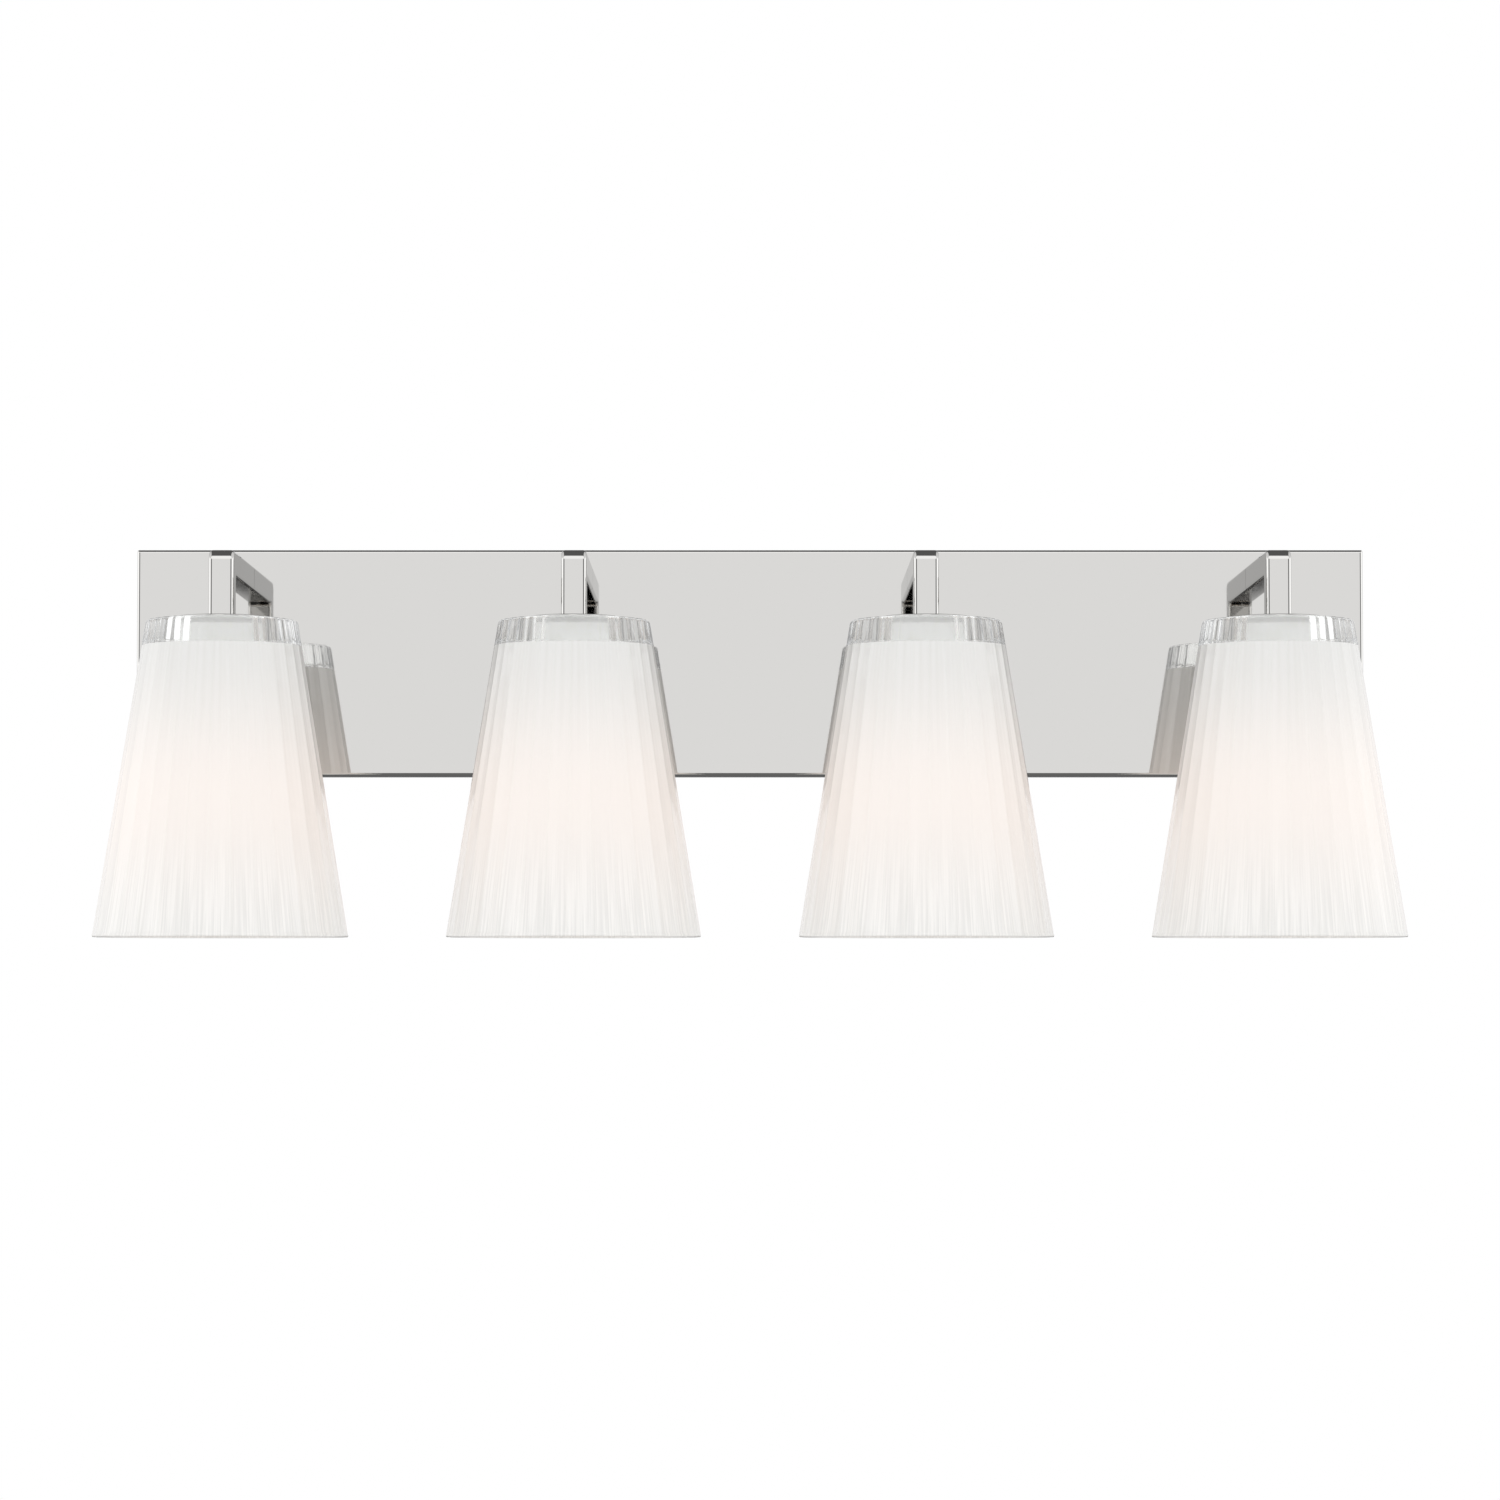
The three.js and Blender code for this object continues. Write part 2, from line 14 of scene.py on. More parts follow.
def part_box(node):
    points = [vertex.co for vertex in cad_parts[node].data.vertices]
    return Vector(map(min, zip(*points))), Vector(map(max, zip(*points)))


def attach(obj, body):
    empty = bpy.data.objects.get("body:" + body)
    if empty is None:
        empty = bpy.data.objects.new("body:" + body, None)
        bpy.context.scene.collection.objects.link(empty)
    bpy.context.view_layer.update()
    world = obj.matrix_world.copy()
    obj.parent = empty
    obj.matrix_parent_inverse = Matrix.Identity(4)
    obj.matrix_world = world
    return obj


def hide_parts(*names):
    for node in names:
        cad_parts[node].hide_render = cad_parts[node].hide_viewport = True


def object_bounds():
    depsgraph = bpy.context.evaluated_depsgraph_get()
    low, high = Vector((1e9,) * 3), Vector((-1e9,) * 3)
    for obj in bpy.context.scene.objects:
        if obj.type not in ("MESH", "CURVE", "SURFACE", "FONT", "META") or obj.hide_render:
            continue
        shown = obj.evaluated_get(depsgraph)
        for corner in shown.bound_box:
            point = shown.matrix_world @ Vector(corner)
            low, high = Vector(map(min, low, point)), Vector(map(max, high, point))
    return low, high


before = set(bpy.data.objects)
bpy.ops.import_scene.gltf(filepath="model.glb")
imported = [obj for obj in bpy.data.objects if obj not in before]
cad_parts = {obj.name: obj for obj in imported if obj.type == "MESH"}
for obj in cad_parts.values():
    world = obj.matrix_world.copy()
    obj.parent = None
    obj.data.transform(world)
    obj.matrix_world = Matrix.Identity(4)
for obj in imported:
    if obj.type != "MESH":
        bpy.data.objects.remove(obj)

CAD_LOW, CAD_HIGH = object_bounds()
MM = 0.001
ROOT = "fixture"
LIGHTS = (1, 2, 3, 4)

# ------------------------------------------------------------------ sizes

CLEARANCE = 0.3  # between pieces that fit together

PAN_SHEET = 1.2
PAN_FOLD = 1.8  # outside radius of the folded edge
PAN_INNER_FOLD = 0.5
PAN_CORNER = 1.0
PAN_LEAST_CORNER = 0.25
PAN_HEM = 0.2  # the small chamfers of the sheet's cut edge
SCREW_HOLE_RADIUS = 2.3
CUTTER_LENGTH = 6.0

ARM_SIZE = 14.0
ARM_EDGE = 2.0
ARM_BEND_OUTER = 6.0
ARM_BEND_INNER = 2.0

SHADE_TOP_THICK = 15.0
SHADE_WALL = 3.2
SHADE_SHOULDER = 3.0
HOLE_RADIUS = 21.0
STEP_RISE = 0.6  # the opal body reaches this far above the underside of the clear top
STEPS_PER_FLUTE = 12
FLUTES = 32
FLUTE_DEPTH = 0.6
FINE_FLUTE_DEPTH = 0.12
RIM_FADE = 2.5  # the flutes run out this far above the mouth
SEAM = 0.05  # between the clear top and the opal body

CAP_RADIUS = 25.0
CAP_THICKNESS = 1.5
RING_RADIUS = 24.9
RING_BORE = 20.3
RING_TOP = 15.3
RING_BOTTOM = 20.3
RING_EDGE = 0.8  # plain, above and below the ribs
RING_RIBS = 48

SOCKET_RADIUS = 20.0
SOCKET_SKIRT = 18.0
SOCKET_COLLAR = 24.0
SOCKET_LENGTH = 48.0
SOCKET_CAVITY = 14.8
SOCKET_CHAMFER = 4.5
SOCKET_WEB_TOP = 13.0
SOCKET_WEB_BOTTOM = 18.0
SOCKET_WELL_RADIUS = 12.0
SOCKET_WELL_TOP = 5.0

SHELL_OUTER = 14.5
SHELL_INNER = 13.9
SHELL_LIP = 0.25  # the shell's wall is thinner by this below its top
SHELL_TOP = 18.3
SHELL_BOTTOM = 42.3
SHELL_THREAD_TOP = 20.0
SHELL_THREAD_BOTTOM = 40.0
LAMP_THREAD_PITCH = 3.63
LAMP_THREAD_DEPTH = 0.9
LAMP_TIP = 20.1
LAMP_BASE_LENGTH = 26.0
LAMP_BASE_RADIUS = 13.1
LAMP_LENGTH = 108.0
BULB_RADIUS = 30.0
BULB_SHOULDER = math.radians(35)

STREAK_RADIUS = 60.0  # round the shade at mid height
GLOW_DEPTH = 101.0  # where a shade's painted glow is strongest, below its top
GLOW_SPREAD = 54.0

NIPPLE_RADIUS = 4.75
NIPPLE_HOLE = NIPPLE_RADIUS + CLEARANCE
NIPPLE_BORE = 3.25
NIPPLE_END = 0.8  # plain, at each end of the thread
NIPPLE_PITCH = 0.94
SLEEVE_RADIUS = 2.9
CONDUCTOR_RADIUS = 1.1
CONDUCTOR_OFFSET = 1.6
CONDUCTOR_STEP = 2.8  # between neighbours in one connector
CONDUCTOR_BEND = 4.0
SLEEVE_END = 5.5  # how far a sleeve reaches in from the pan's sheet
SLEEVE_TOP = 9.0  # how far a sleeve starts below the top of its shade
LIVE_PLANE = -12.6
NEUTRAL_PLANE = -9.2
CONNECTOR_OFFSET = 16.0
CONNECTOR_MOUTH = 22.0
CONNECTOR_LENGTH = 26.0
CONNECTOR_RADIUS = 7.0
CONNECTOR_BORE = 5.8
CONNECTOR_GRIP = 12.0
LOW_LANE = 30.0
GROUND_SCREW_X = 66.0
NUT_ACROSS = 16.2

# ------------------------------------------------------------------ places, from the frame


def box_mm(node):
    low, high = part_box(node)
    return low / MM, high / MM


PAN_LOW, PAN_HIGH = box_mm("backplate_pan")
PAN_FACE = PAN_LOW.y
PAN_INSIDE = PAN_FACE + PAN_SHEET


def lamp_axis(number):
    """The X and Y of a lamp's axis and the Z of its shade's top."""
    low, high = box_mm(f"shade_{number}")
    return Vector(((low.x + high.x) / 2, (low.y + high.y) / 2, high.z))


AXIS_Y = lamp_axis(1).y
SHADE_TOP = lamp_axis(1).z
SHADE_LOW, SHADE_HIGH = box_mm("shade_1")
SHADE_HEIGHT = SHADE_HIGH.z - SHADE_LOW.z
MOUTH_RADIUS = (SHADE_HIGH.x - SHADE_LOW.x) / 2
TOP_RADIUS = 42.0
ARM_TOP = box_mm("arm_1")[1].z
ARM_FOOT = box_mm("arm_1")[0].z
ARM_AXIS_Z = ARM_TOP - ARM_SIZE / 2
ARM_BACK = box_mm("arm_1")[1].y


def shade_radius(depth):
    return TOP_RADIUS + (MOUTH_RADIUS - TOP_RADIUS) * depth / SHADE_HEIGHT


# ------------------------------------------------------------------ nodes and colours

MATH = "ShaderNodeMath"


def colour(hexadecimal):
    """A linear RGBA colour from an sRGB hex value."""
    parts = [int(hexadecimal[i : i + 2], 16) / 255 for i in (1, 3, 5)]
    linear = [c / 12.92 if c <= 0.04045 else ((c + 0.055) / 1.055) ** 2.4 for c in parts]
    return (*linear, 1.0)


def add(tree, kind, inputs=(), **settings):
    """Adds a node with its settings. Inputs are values, or outputs to link, by name or in order."""
    node = tree.nodes.new(kind)
    for name, value in settings.items():
        setattr(node, name, value)
    pairs = inputs.items() if isinstance(inputs, dict) else enumerate(inputs)
    for key, value in pairs:
        if isinstance(value, bpy.types.NodeSocket):
            tree.links.new(value, node.inputs[key])
        else:
            node.inputs[key].default_value = value
    return node


def material(name, **uniform):
    """A material with one Principled shader, whose uniform values are set on its own sockets."""
    made = bpy.data.materials.new(name)
    made.use_nodes = True
    tree = made.node_tree
    tree.nodes.clear()
    shader = add(tree, "ShaderNodeBsdfPrincipled")
    for socket, value in uniform.items():
        shader.inputs[socket.replace("_", " ")].default_value = value
    add(tree, "ShaderNodeOutputMaterial", {"Surface": shader.outputs[0]})
    return made, tree, shader


def place_of(tree):
    return add(tree, "ShaderNodeTexCoord").outputs["Object"]


def mottle(tree, shader, place, scale, low, high, socket="Base Color", detail=3.0):
    """Varies a colour or a number between two values by a noise of so many grains per metre.
    Everything here takes its grain the same way, so 250 is a grain of 4 mm."""
    noise = add(tree, "ShaderNodeTexNoise", {"Vector": place, "Scale": scale, "Detail": detail})
    if isinstance(low, str):
        ramp = add(tree, "ShaderNodeValToRGB", [noise.outputs["Fac"]])
        ramp.color_ramp.elements[0].position = 0.35
        ramp.color_ramp.elements[1].position = 0.65
        ramp.color_ramp.elements[0].color = colour(low)
        ramp.color_ramp.elements[1].color = colour(high)
        result = ramp.outputs["Color"]
    else:
        limits = {"Value": noise.outputs["Fac"], "From Min": 0.3, "From Max": 0.7}
        limits.update({"To Min": low, "To Max": high})
        result = add(tree, "ShaderNodeMapRange", limits).outputs["Result"]
    tree.links.new(result, shader.inputs[socket])
    return noise.outputs["Fac"]


def bump(tree, shader, height, distance, strength=1.0):
    inputs = {"Height": height, "Distance": distance, "Strength": strength}
    node = add(tree, "ShaderNodeBump", inputs)
    tree.links.new(node.outputs["Normal"], shader.inputs["Normal"])


def uneven_gloss(tree, shader, grain, smooth, rough):
    """Lets a grain say how rough each spot is, between two values."""
    limits = {"Value": grain.outputs["Fac"], "To Min": smooth, "To Max": rough}
    spread = add(tree, "ShaderNodeMapRange", limits)
    tree.links.new(spread.outputs["Result"], shader.inputs["Roughness"])


# ------------------------------------------------------------------ materials


def polished_chrome():
    """Chromium plate on buffed steel: a neutral, slightly dark mirror, with a trace of buffing haze in
    patches of 4 mm."""
    made, tree, shader = material("polished_chrome_plate", Metallic=1.0)
    shader.inputs["Base Color"].default_value = colour("#d9d8d6")
    shader.inputs["Specular Tint"].default_value = colour("#c4c4c4")
    mottle(tree, shader, place_of(tree), 260.0, 0.015, 0.04, "Roughness")
    return made


def zinc_plate():
    """Zinc plate with clear passivation: grey steel with a faint yellow and blue bloom in patches of
    6 mm, and a grain of 1 mm, coarser than the real one so that it shows."""
    made, tree, shader = material("zinc_plated_steel", Metallic=1.0)
    place = place_of(tree)
    mottle(tree, shader, place, 160.0, "#abaeb1", "#b9b8b1")
    grain = add(tree, "ShaderNodeTexNoise", {"Vector": place, "Scale": 900.0, "Detail": 2.0})
    uneven_gloss(tree, shader, grain, 0.28, 0.5)
    bump(tree, shader, grain.outputs["Fac"], 0.00004, 0.5)
    return made


def nickel_plate():
    """Nickel plate on rolled brass: a warm satin grey, clouded at 3 mm, with a grain of 0.7 mm that
    is coarser than the real one so that it shows."""
    made, tree, shader = material("nickel_plated_brass", Metallic=1.0)
    place = place_of(tree)
    mottle(tree, shader, place, 350.0, "#bdb8ab", "#cfcabf")
    fine = add(tree, "ShaderNodeTexNoise", {"Vector": place, "Scale": 1500.0})
    uneven_gloss(tree, shader, fine, 0.2, 0.36)
    return made


def brass_strip():
    """Pressed brass: yellow metal, dulled by handling in patches of 2 mm."""
    made, tree, shader = material("pressed_brass", Metallic=1.0)
    place = place_of(tree)
    mottle(tree, shader, place, 500.0, "#b98f45", "#d6b369")
    shader.inputs["Roughness"].default_value = 0.32
    return made


def green_screw():
    """Steel screw in green lacquer, worn to a lighter green in spots of 1.5 mm."""
    made, tree, shader = material("green_lacquered_steel", Metallic=0.6, Roughness=0.38)
    mottle(tree, shader, place_of(tree), 700.0, "#2c6b38", "#4f9a58")
    return made


def white_plastic():
    """Moulded white PBT: dense and even, clouded at 8 mm, with a faint painted glow for the lamp's light
    that reaches it, and the dull grain of its mould, drawn at 0.4 mm, coarser than the real one so that
    it shows."""
    # The emission is a painted glow: the plastic is lit as if by the lamp, though it is no lamp itself.
    made, tree, shader = material("moulded_white_pbt", IOR=1.55, Emission_Strength=0.09)
    shader.inputs["Emission Color"].default_value = colour("#f6f8ff")
    place = place_of(tree)
    mottle(tree, shader, place, 120.0, "#e9e8e4", "#f1f0ed")
    grain = add(tree, "ShaderNodeTexNoise", {"Vector": place, "Scale": 2600.0})
    uneven_gloss(tree, shader, grain, 0.34, 0.5)
    bump(tree, shader, grain.outputs["Fac"], 0.00003, 0.4)
    return made


def moulded_plastic(name, dark, light):
    """Moulded nylon of a wire connector: a matt colour with a soft grain of 2.5 mm."""
    made, tree, shader = material(name, IOR=1.53)
    place = place_of(tree)
    grain = mottle(tree, shader, place, 420.0, dark, light)
    shader.inputs["Roughness"].default_value = 0.48
    bump(tree, shader, grain, 0.00005, 0.4)
    return made


def wire_sheath(name, dark, light):
    """Extruded PVC insulation: smooth, its tone changing every 6 mm and its gloss every 3 mm."""
    made, tree, shader = material(name, IOR=1.53)
    place = place_of(tree)
    mottle(tree, shader, place, 160.0, dark, light)
    fine = add(tree, "ShaderNodeTexNoise", {"Vector": place, "Scale": 300.0})
    uneven_gloss(tree, shader, fine, 0.35, 0.55)
    return made


def braided_sleeving():
    """Varnished glass-fibre sleeving: a cream braid whose strands cross every 1.2 mm along it, drawn
    at 2 mm so that they show."""
    made, tree, shader = material("varnished_braid", IOR=1.5, Roughness=0.6)
    along = add(tree, "ShaderNodeAttribute", attribute_name="along").outputs["Fac"]
    around = add(tree, "ShaderNodeAttribute", attribute_name="round").outputs["Fac"]
    strands = []
    for way in (1.0, -1.0):
        lead = add(tree, MATH, [along, way * math.tau / 0.004], operation="MULTIPLY")
        turn = add(tree, MATH, [around, math.tau * 4], operation="MULTIPLY")
        both = add(tree, MATH, [lead.outputs[0], turn.outputs[0]], operation="ADD")
        strands.append(add(tree, MATH, [both.outputs[0]], operation="SINE").outputs[0])
    weave = add(tree, MATH, strands, operation="MAXIMUM").outputs[0]
    limits = {"Value": weave, "From Min": -0.4, "From Max": 1.0}
    share = add(tree, "ShaderNodeMapRange", limits).outputs["Result"]
    mix = {0: share, 6: colour("#a89f8a"), 7: colour("#ece6d6")}
    cloth = add(tree, "ShaderNodeMix", mix, data_type="RGBA")
    tree.links.new(cloth.outputs[2], shader.inputs["Base Color"])
    bump(tree, shader, share, 0.0002, 0.8)
    return made


def streaked_place(tree, squeeze):
    """Where a point is round its piece's axis, and a little of its height: noise becomes streaks
    that run down a cone as they run down a cylinder."""
    own = add(tree, "ShaderNodeAttribute", attribute_name="own_place").outputs["Vector"]
    flat = add(tree, "ShaderNodeVectorMath", [own, (1.0, 1.0, 0.0)], operation="MULTIPLY")
    turn = add(tree, "ShaderNodeVectorMath", [flat.outputs[0]], operation="NORMALIZE")
    size = (STREAK_RADIUS * MM, STREAK_RADIUS * MM, 0.0)
    rise = add(tree, "ShaderNodeVectorMath", [own, (0.0, 0.0, squeeze)], operation="MULTIPLY")
    inputs = [turn.outputs[0], size, rise.outputs[0]]
    return add(tree, "ShaderNodeVectorMath", inputs, operation="MULTIPLY_ADD").outputs[0]


def opal_glass():
    """Opal glass in a clear casing, pressed in a fluted mould: milky white under a clear gloss, with
    streaks 2.5 mm wide and hairlines of 1 mm down the flutes, a painted warm glow below the middle
    for the lamp's light, in its colour and a faint emission, and a painted highlight on each ridge."""
    made, tree, shader = material(
        "cased_opal_glass", IOR=1.5, Coat_Weight=0.6, Coat_Roughness=0.03, Coat_IOR=1.5
    )
    soft = {"Vector": streaked_place(tree, 0.02), "Scale": 420.0, "Detail": 1.0}
    streak = add(tree, "ShaderNodeTexNoise", soft)
    limits = {"Value": streak.outputs["Fac"], "From Min": 0.3, "From Max": 0.7}
    share = add(tree, "ShaderNodeMapRange", limits).outputs["Result"]
    mix = {0: share, 6: colour("#e3e4e2"), 7: colour("#e8e9e8")}
    body = add(tree, "ShaderNodeMix", mix, data_type="RGBA")
    own = add(tree, "ShaderNodeAttribute", attribute_name="own_place").outputs["Vector"]
    height = add(tree, "ShaderNodeSeparateXYZ", [own]).outputs["Z"]
    offset = add(tree, MATH, [height, GLOW_DEPTH * MM], operation="ADD")
    share = add(tree, MATH, [offset.outputs[0], GLOW_SPREAD * MM], operation="DIVIDE")
    square = add(tree, MATH, [share.outputs[0], share.outputs[0]], operation="MULTIPLY")
    fall = add(tree, MATH, [square.outputs[0], -1.0], operation="MULTIPLY")
    glow = add(tree, MATH, [fall.outputs[0]], operation="EXPONENT").outputs[0]
    limits = {"Value": height, "From Min": -0.03, "From Max": -0.14}
    low = add(tree, "ShaderNodeMapRange", limits).outputs["Result"]
    hair = {"Vector": streaked_place(tree, 0.02), "Scale": 1100.0, "Detail": 1.0}
    hairline = add(tree, "ShaderNodeTexNoise", hair).outputs["Fac"]
    limits = {"Value": hairline, "From Min": 0.4, "From Max": 0.65, "To Min": 0.2, "To Max": 1.0}
    hairline = add(tree, "ShaderNodeMapRange", limits).outputs["Result"]
    lower = add(tree, MATH, [low, hairline], operation="MULTIPLY").outputs[0]
    mix = {0: lower, 6: body.outputs[2], 7: colour("#fbfbf9")}
    pale = add(tree, "ShaderNodeMix", mix, data_type="RGBA").outputs[2]
    # Painted glow: the colour is tinted warm a little below the middle, where the lamp would shine
    # through.
    mix = {0: glow, 6: pale, 7: colour("#f5f1ed")}
    warm = add(tree, "ShaderNodeMix", mix, data_type="RGBA").outputs[2]
    # Painted highlight: each flute's ridge is whitened in the colour, and below given a faint emission.
    crest = add(tree, "ShaderNodeAttribute", attribute_name="crest").outputs["Fac"]
    ridge_highlight = add(tree, MATH, [crest, 2.5], operation="POWER").outputs[0]
    ridge_whitened = add(tree, "ShaderNodeMix", {0: ridge_highlight, 6: warm, 7: colour("#ffffff")}, data_type="RGBA")
    tree.links.new(ridge_whitened.outputs[2], shader.inputs["Base Color"])
    shader.inputs["Roughness"].default_value = 0.35
    # Painted glow: a faint warm emission below the middle, and more on each ridge as its painted
    # highlight.
    inside = add(tree, "ShaderNodeMapRange", {"Value": glow, "To Min": 0.01, "To Max": 0.075}).outputs[0]
    edge = add(tree, MATH, [ridge_highlight, 0.14, inside], operation="MULTIPLY_ADD").outputs[0]
    shader.inputs["Emission Color"].default_value = colour("#ffc6a2")
    tree.links.new(edge, shader.inputs["Emission Strength"])
    return made


def clear_glass():
    """Clear pressed soda-lime glass: colourless, with the 9 mm ripple of its mould, and a faint painted
    glow for the lamp's light that runs up inside it."""
    # The emission is a painted glow: the glass is lit as if by the lamp, though it is no lamp itself.
    made, tree, shader = material(
        "clear_pressed_glass", IOR=1.5, Transmission_Weight=1.0, Roughness=0.07, Emission_Strength=0.048
    )
    shader.inputs["Emission Color"].default_value = colour("#fbfcff")
    shader.inputs["Base Color"].default_value = colour("#fdfefd")
    place = place_of(tree)
    ripple = add(tree, "ShaderNodeTexNoise", {"Vector": place, "Scale": 110.0, "Detail": 1.0})
    bump(tree, shader, ripple.outputs["Fac"], 0.0004, 0.25)
    return made


def lit_bulb():
    """Frosted lamp glass, lit from inside: a warm white, brightest where it faces the eye. Its frost
    is drawn at 1.5 mm, far coarser than the real one, so that it shows."""
    made, tree, shader = material("frosted_lamp_glass", IOR=1.5, Roughness=0.4, Coat_Weight=0.3)
    frost = {"Vector": place_of(tree), "Scale": 700.0, "Detail": 2.0}
    grain = add(tree, "ShaderNodeTexNoise", frost).outputs["Fac"]
    shader.inputs["Base Color"].default_value = colour("#e9dfcf")
    facing = add(tree, "ShaderNodeLayerWeight", {"Blend": 0.35}).outputs["Facing"]
    limits = {"Value": facing, "From Min": 0.9, "From Max": 0.1, "To Min": 0.05, "To Max": 0.42}
    strength = add(tree, "ShaderNodeMapRange", limits)
    shader.inputs["Emission Color"].default_value = colour("#ffdfb8")
    tree.links.new(strength.outputs["Result"], shader.inputs["Emission Strength"])
    bump(tree, shader, grain, 0.00005, 0.4)
    return made


def black_glass():
    """The black glass insulator of a lamp's base: glossy, with flow marks of under 2 mm."""
    made, tree, shader = material("black_glass_insulator", IOR=1.52, Roughness=0.12)
    mottle(tree, shader, place_of(tree), 600.0, "#141416", "#2b2b30")
    return made


def solder_tip():
    """Soft solder: dull grey metal with lumps of 1 mm where it froze."""
    made, tree, shader = material("soft_solder", Metallic=1.0, Roughness=0.42)
    grain = mottle(tree, shader, place_of(tree), 800.0, "#a3a3a0", "#c8c8c4")
    bump(tree, shader, grain, 0.0002, 0.5)
    return made


FINISH = {
    "chrome": polished_chrome(),
    "zinc": zinc_plate(),
    "nickel": nickel_plate(),
    "brass": brass_strip(),
    "green_screw": green_screw(),
    "white_plastic": white_plastic(),
    "orange": moulded_plastic("moulded_nylon_orange", "#c2601c", "#e07d2f"),
    "grey": moulded_plastic("moulded_nylon_grey", "#7c8286", "#989ea2"),
    "black_wire": wire_sheath("pvc_sheath_black", "#151516", "#29292b"),
    "white_wire": wire_sheath("pvc_sheath_white", "#dcdad3", "#efede7"),
    "green_wire": wire_sheath("pvc_sheath_green", "#27713a", "#3c9450"),
    "sleeve": braided_sleeving(),
    "opal": opal_glass(),
    "clear": clear_glass(),
    "bulb": lit_bulb(),
    "black_glass": black_glass(),
    "solder": solder_tip(),
}

# ------------------------------------------------------------------ Geometry Nodes trees


def new_tree(name, inputs):
    tree = bpy.data.node_groups.new(name, "GeometryNodeTree")
    for socket, kind in inputs:
        tree.interface.new_socket(socket, in_out="INPUT", socket_type=kind)
    tree.interface.new_socket("Geometry", in_out="OUTPUT", socket_type="NodeSocketGeometry")
    return tree, add(tree, "NodeGroupInput").outputs


def finish_tree(tree, geometry, finish):
    """Ends a tree: real geometry, shaded smooth, with its material."""
    smooth = add(tree, "GeometryNodeSetShadeSmooth", {"Geometry": geometry})
    real = add(tree, "GeometryNodeRealizeInstances", {"Geometry": smooth.outputs[0]})
    coated = add(tree, "GeometryNodeSetMaterial", {"Geometry": real.outputs[0], "Material": finish})
    add(tree, "NodeGroupOutput", [coated.outputs[0]])
    return tree


STORE = "GeometryNodeStoreNamedAttribute"
SAME_PLACE = 4e-6  # metres: points nearer than this are one, which closes seams and poles


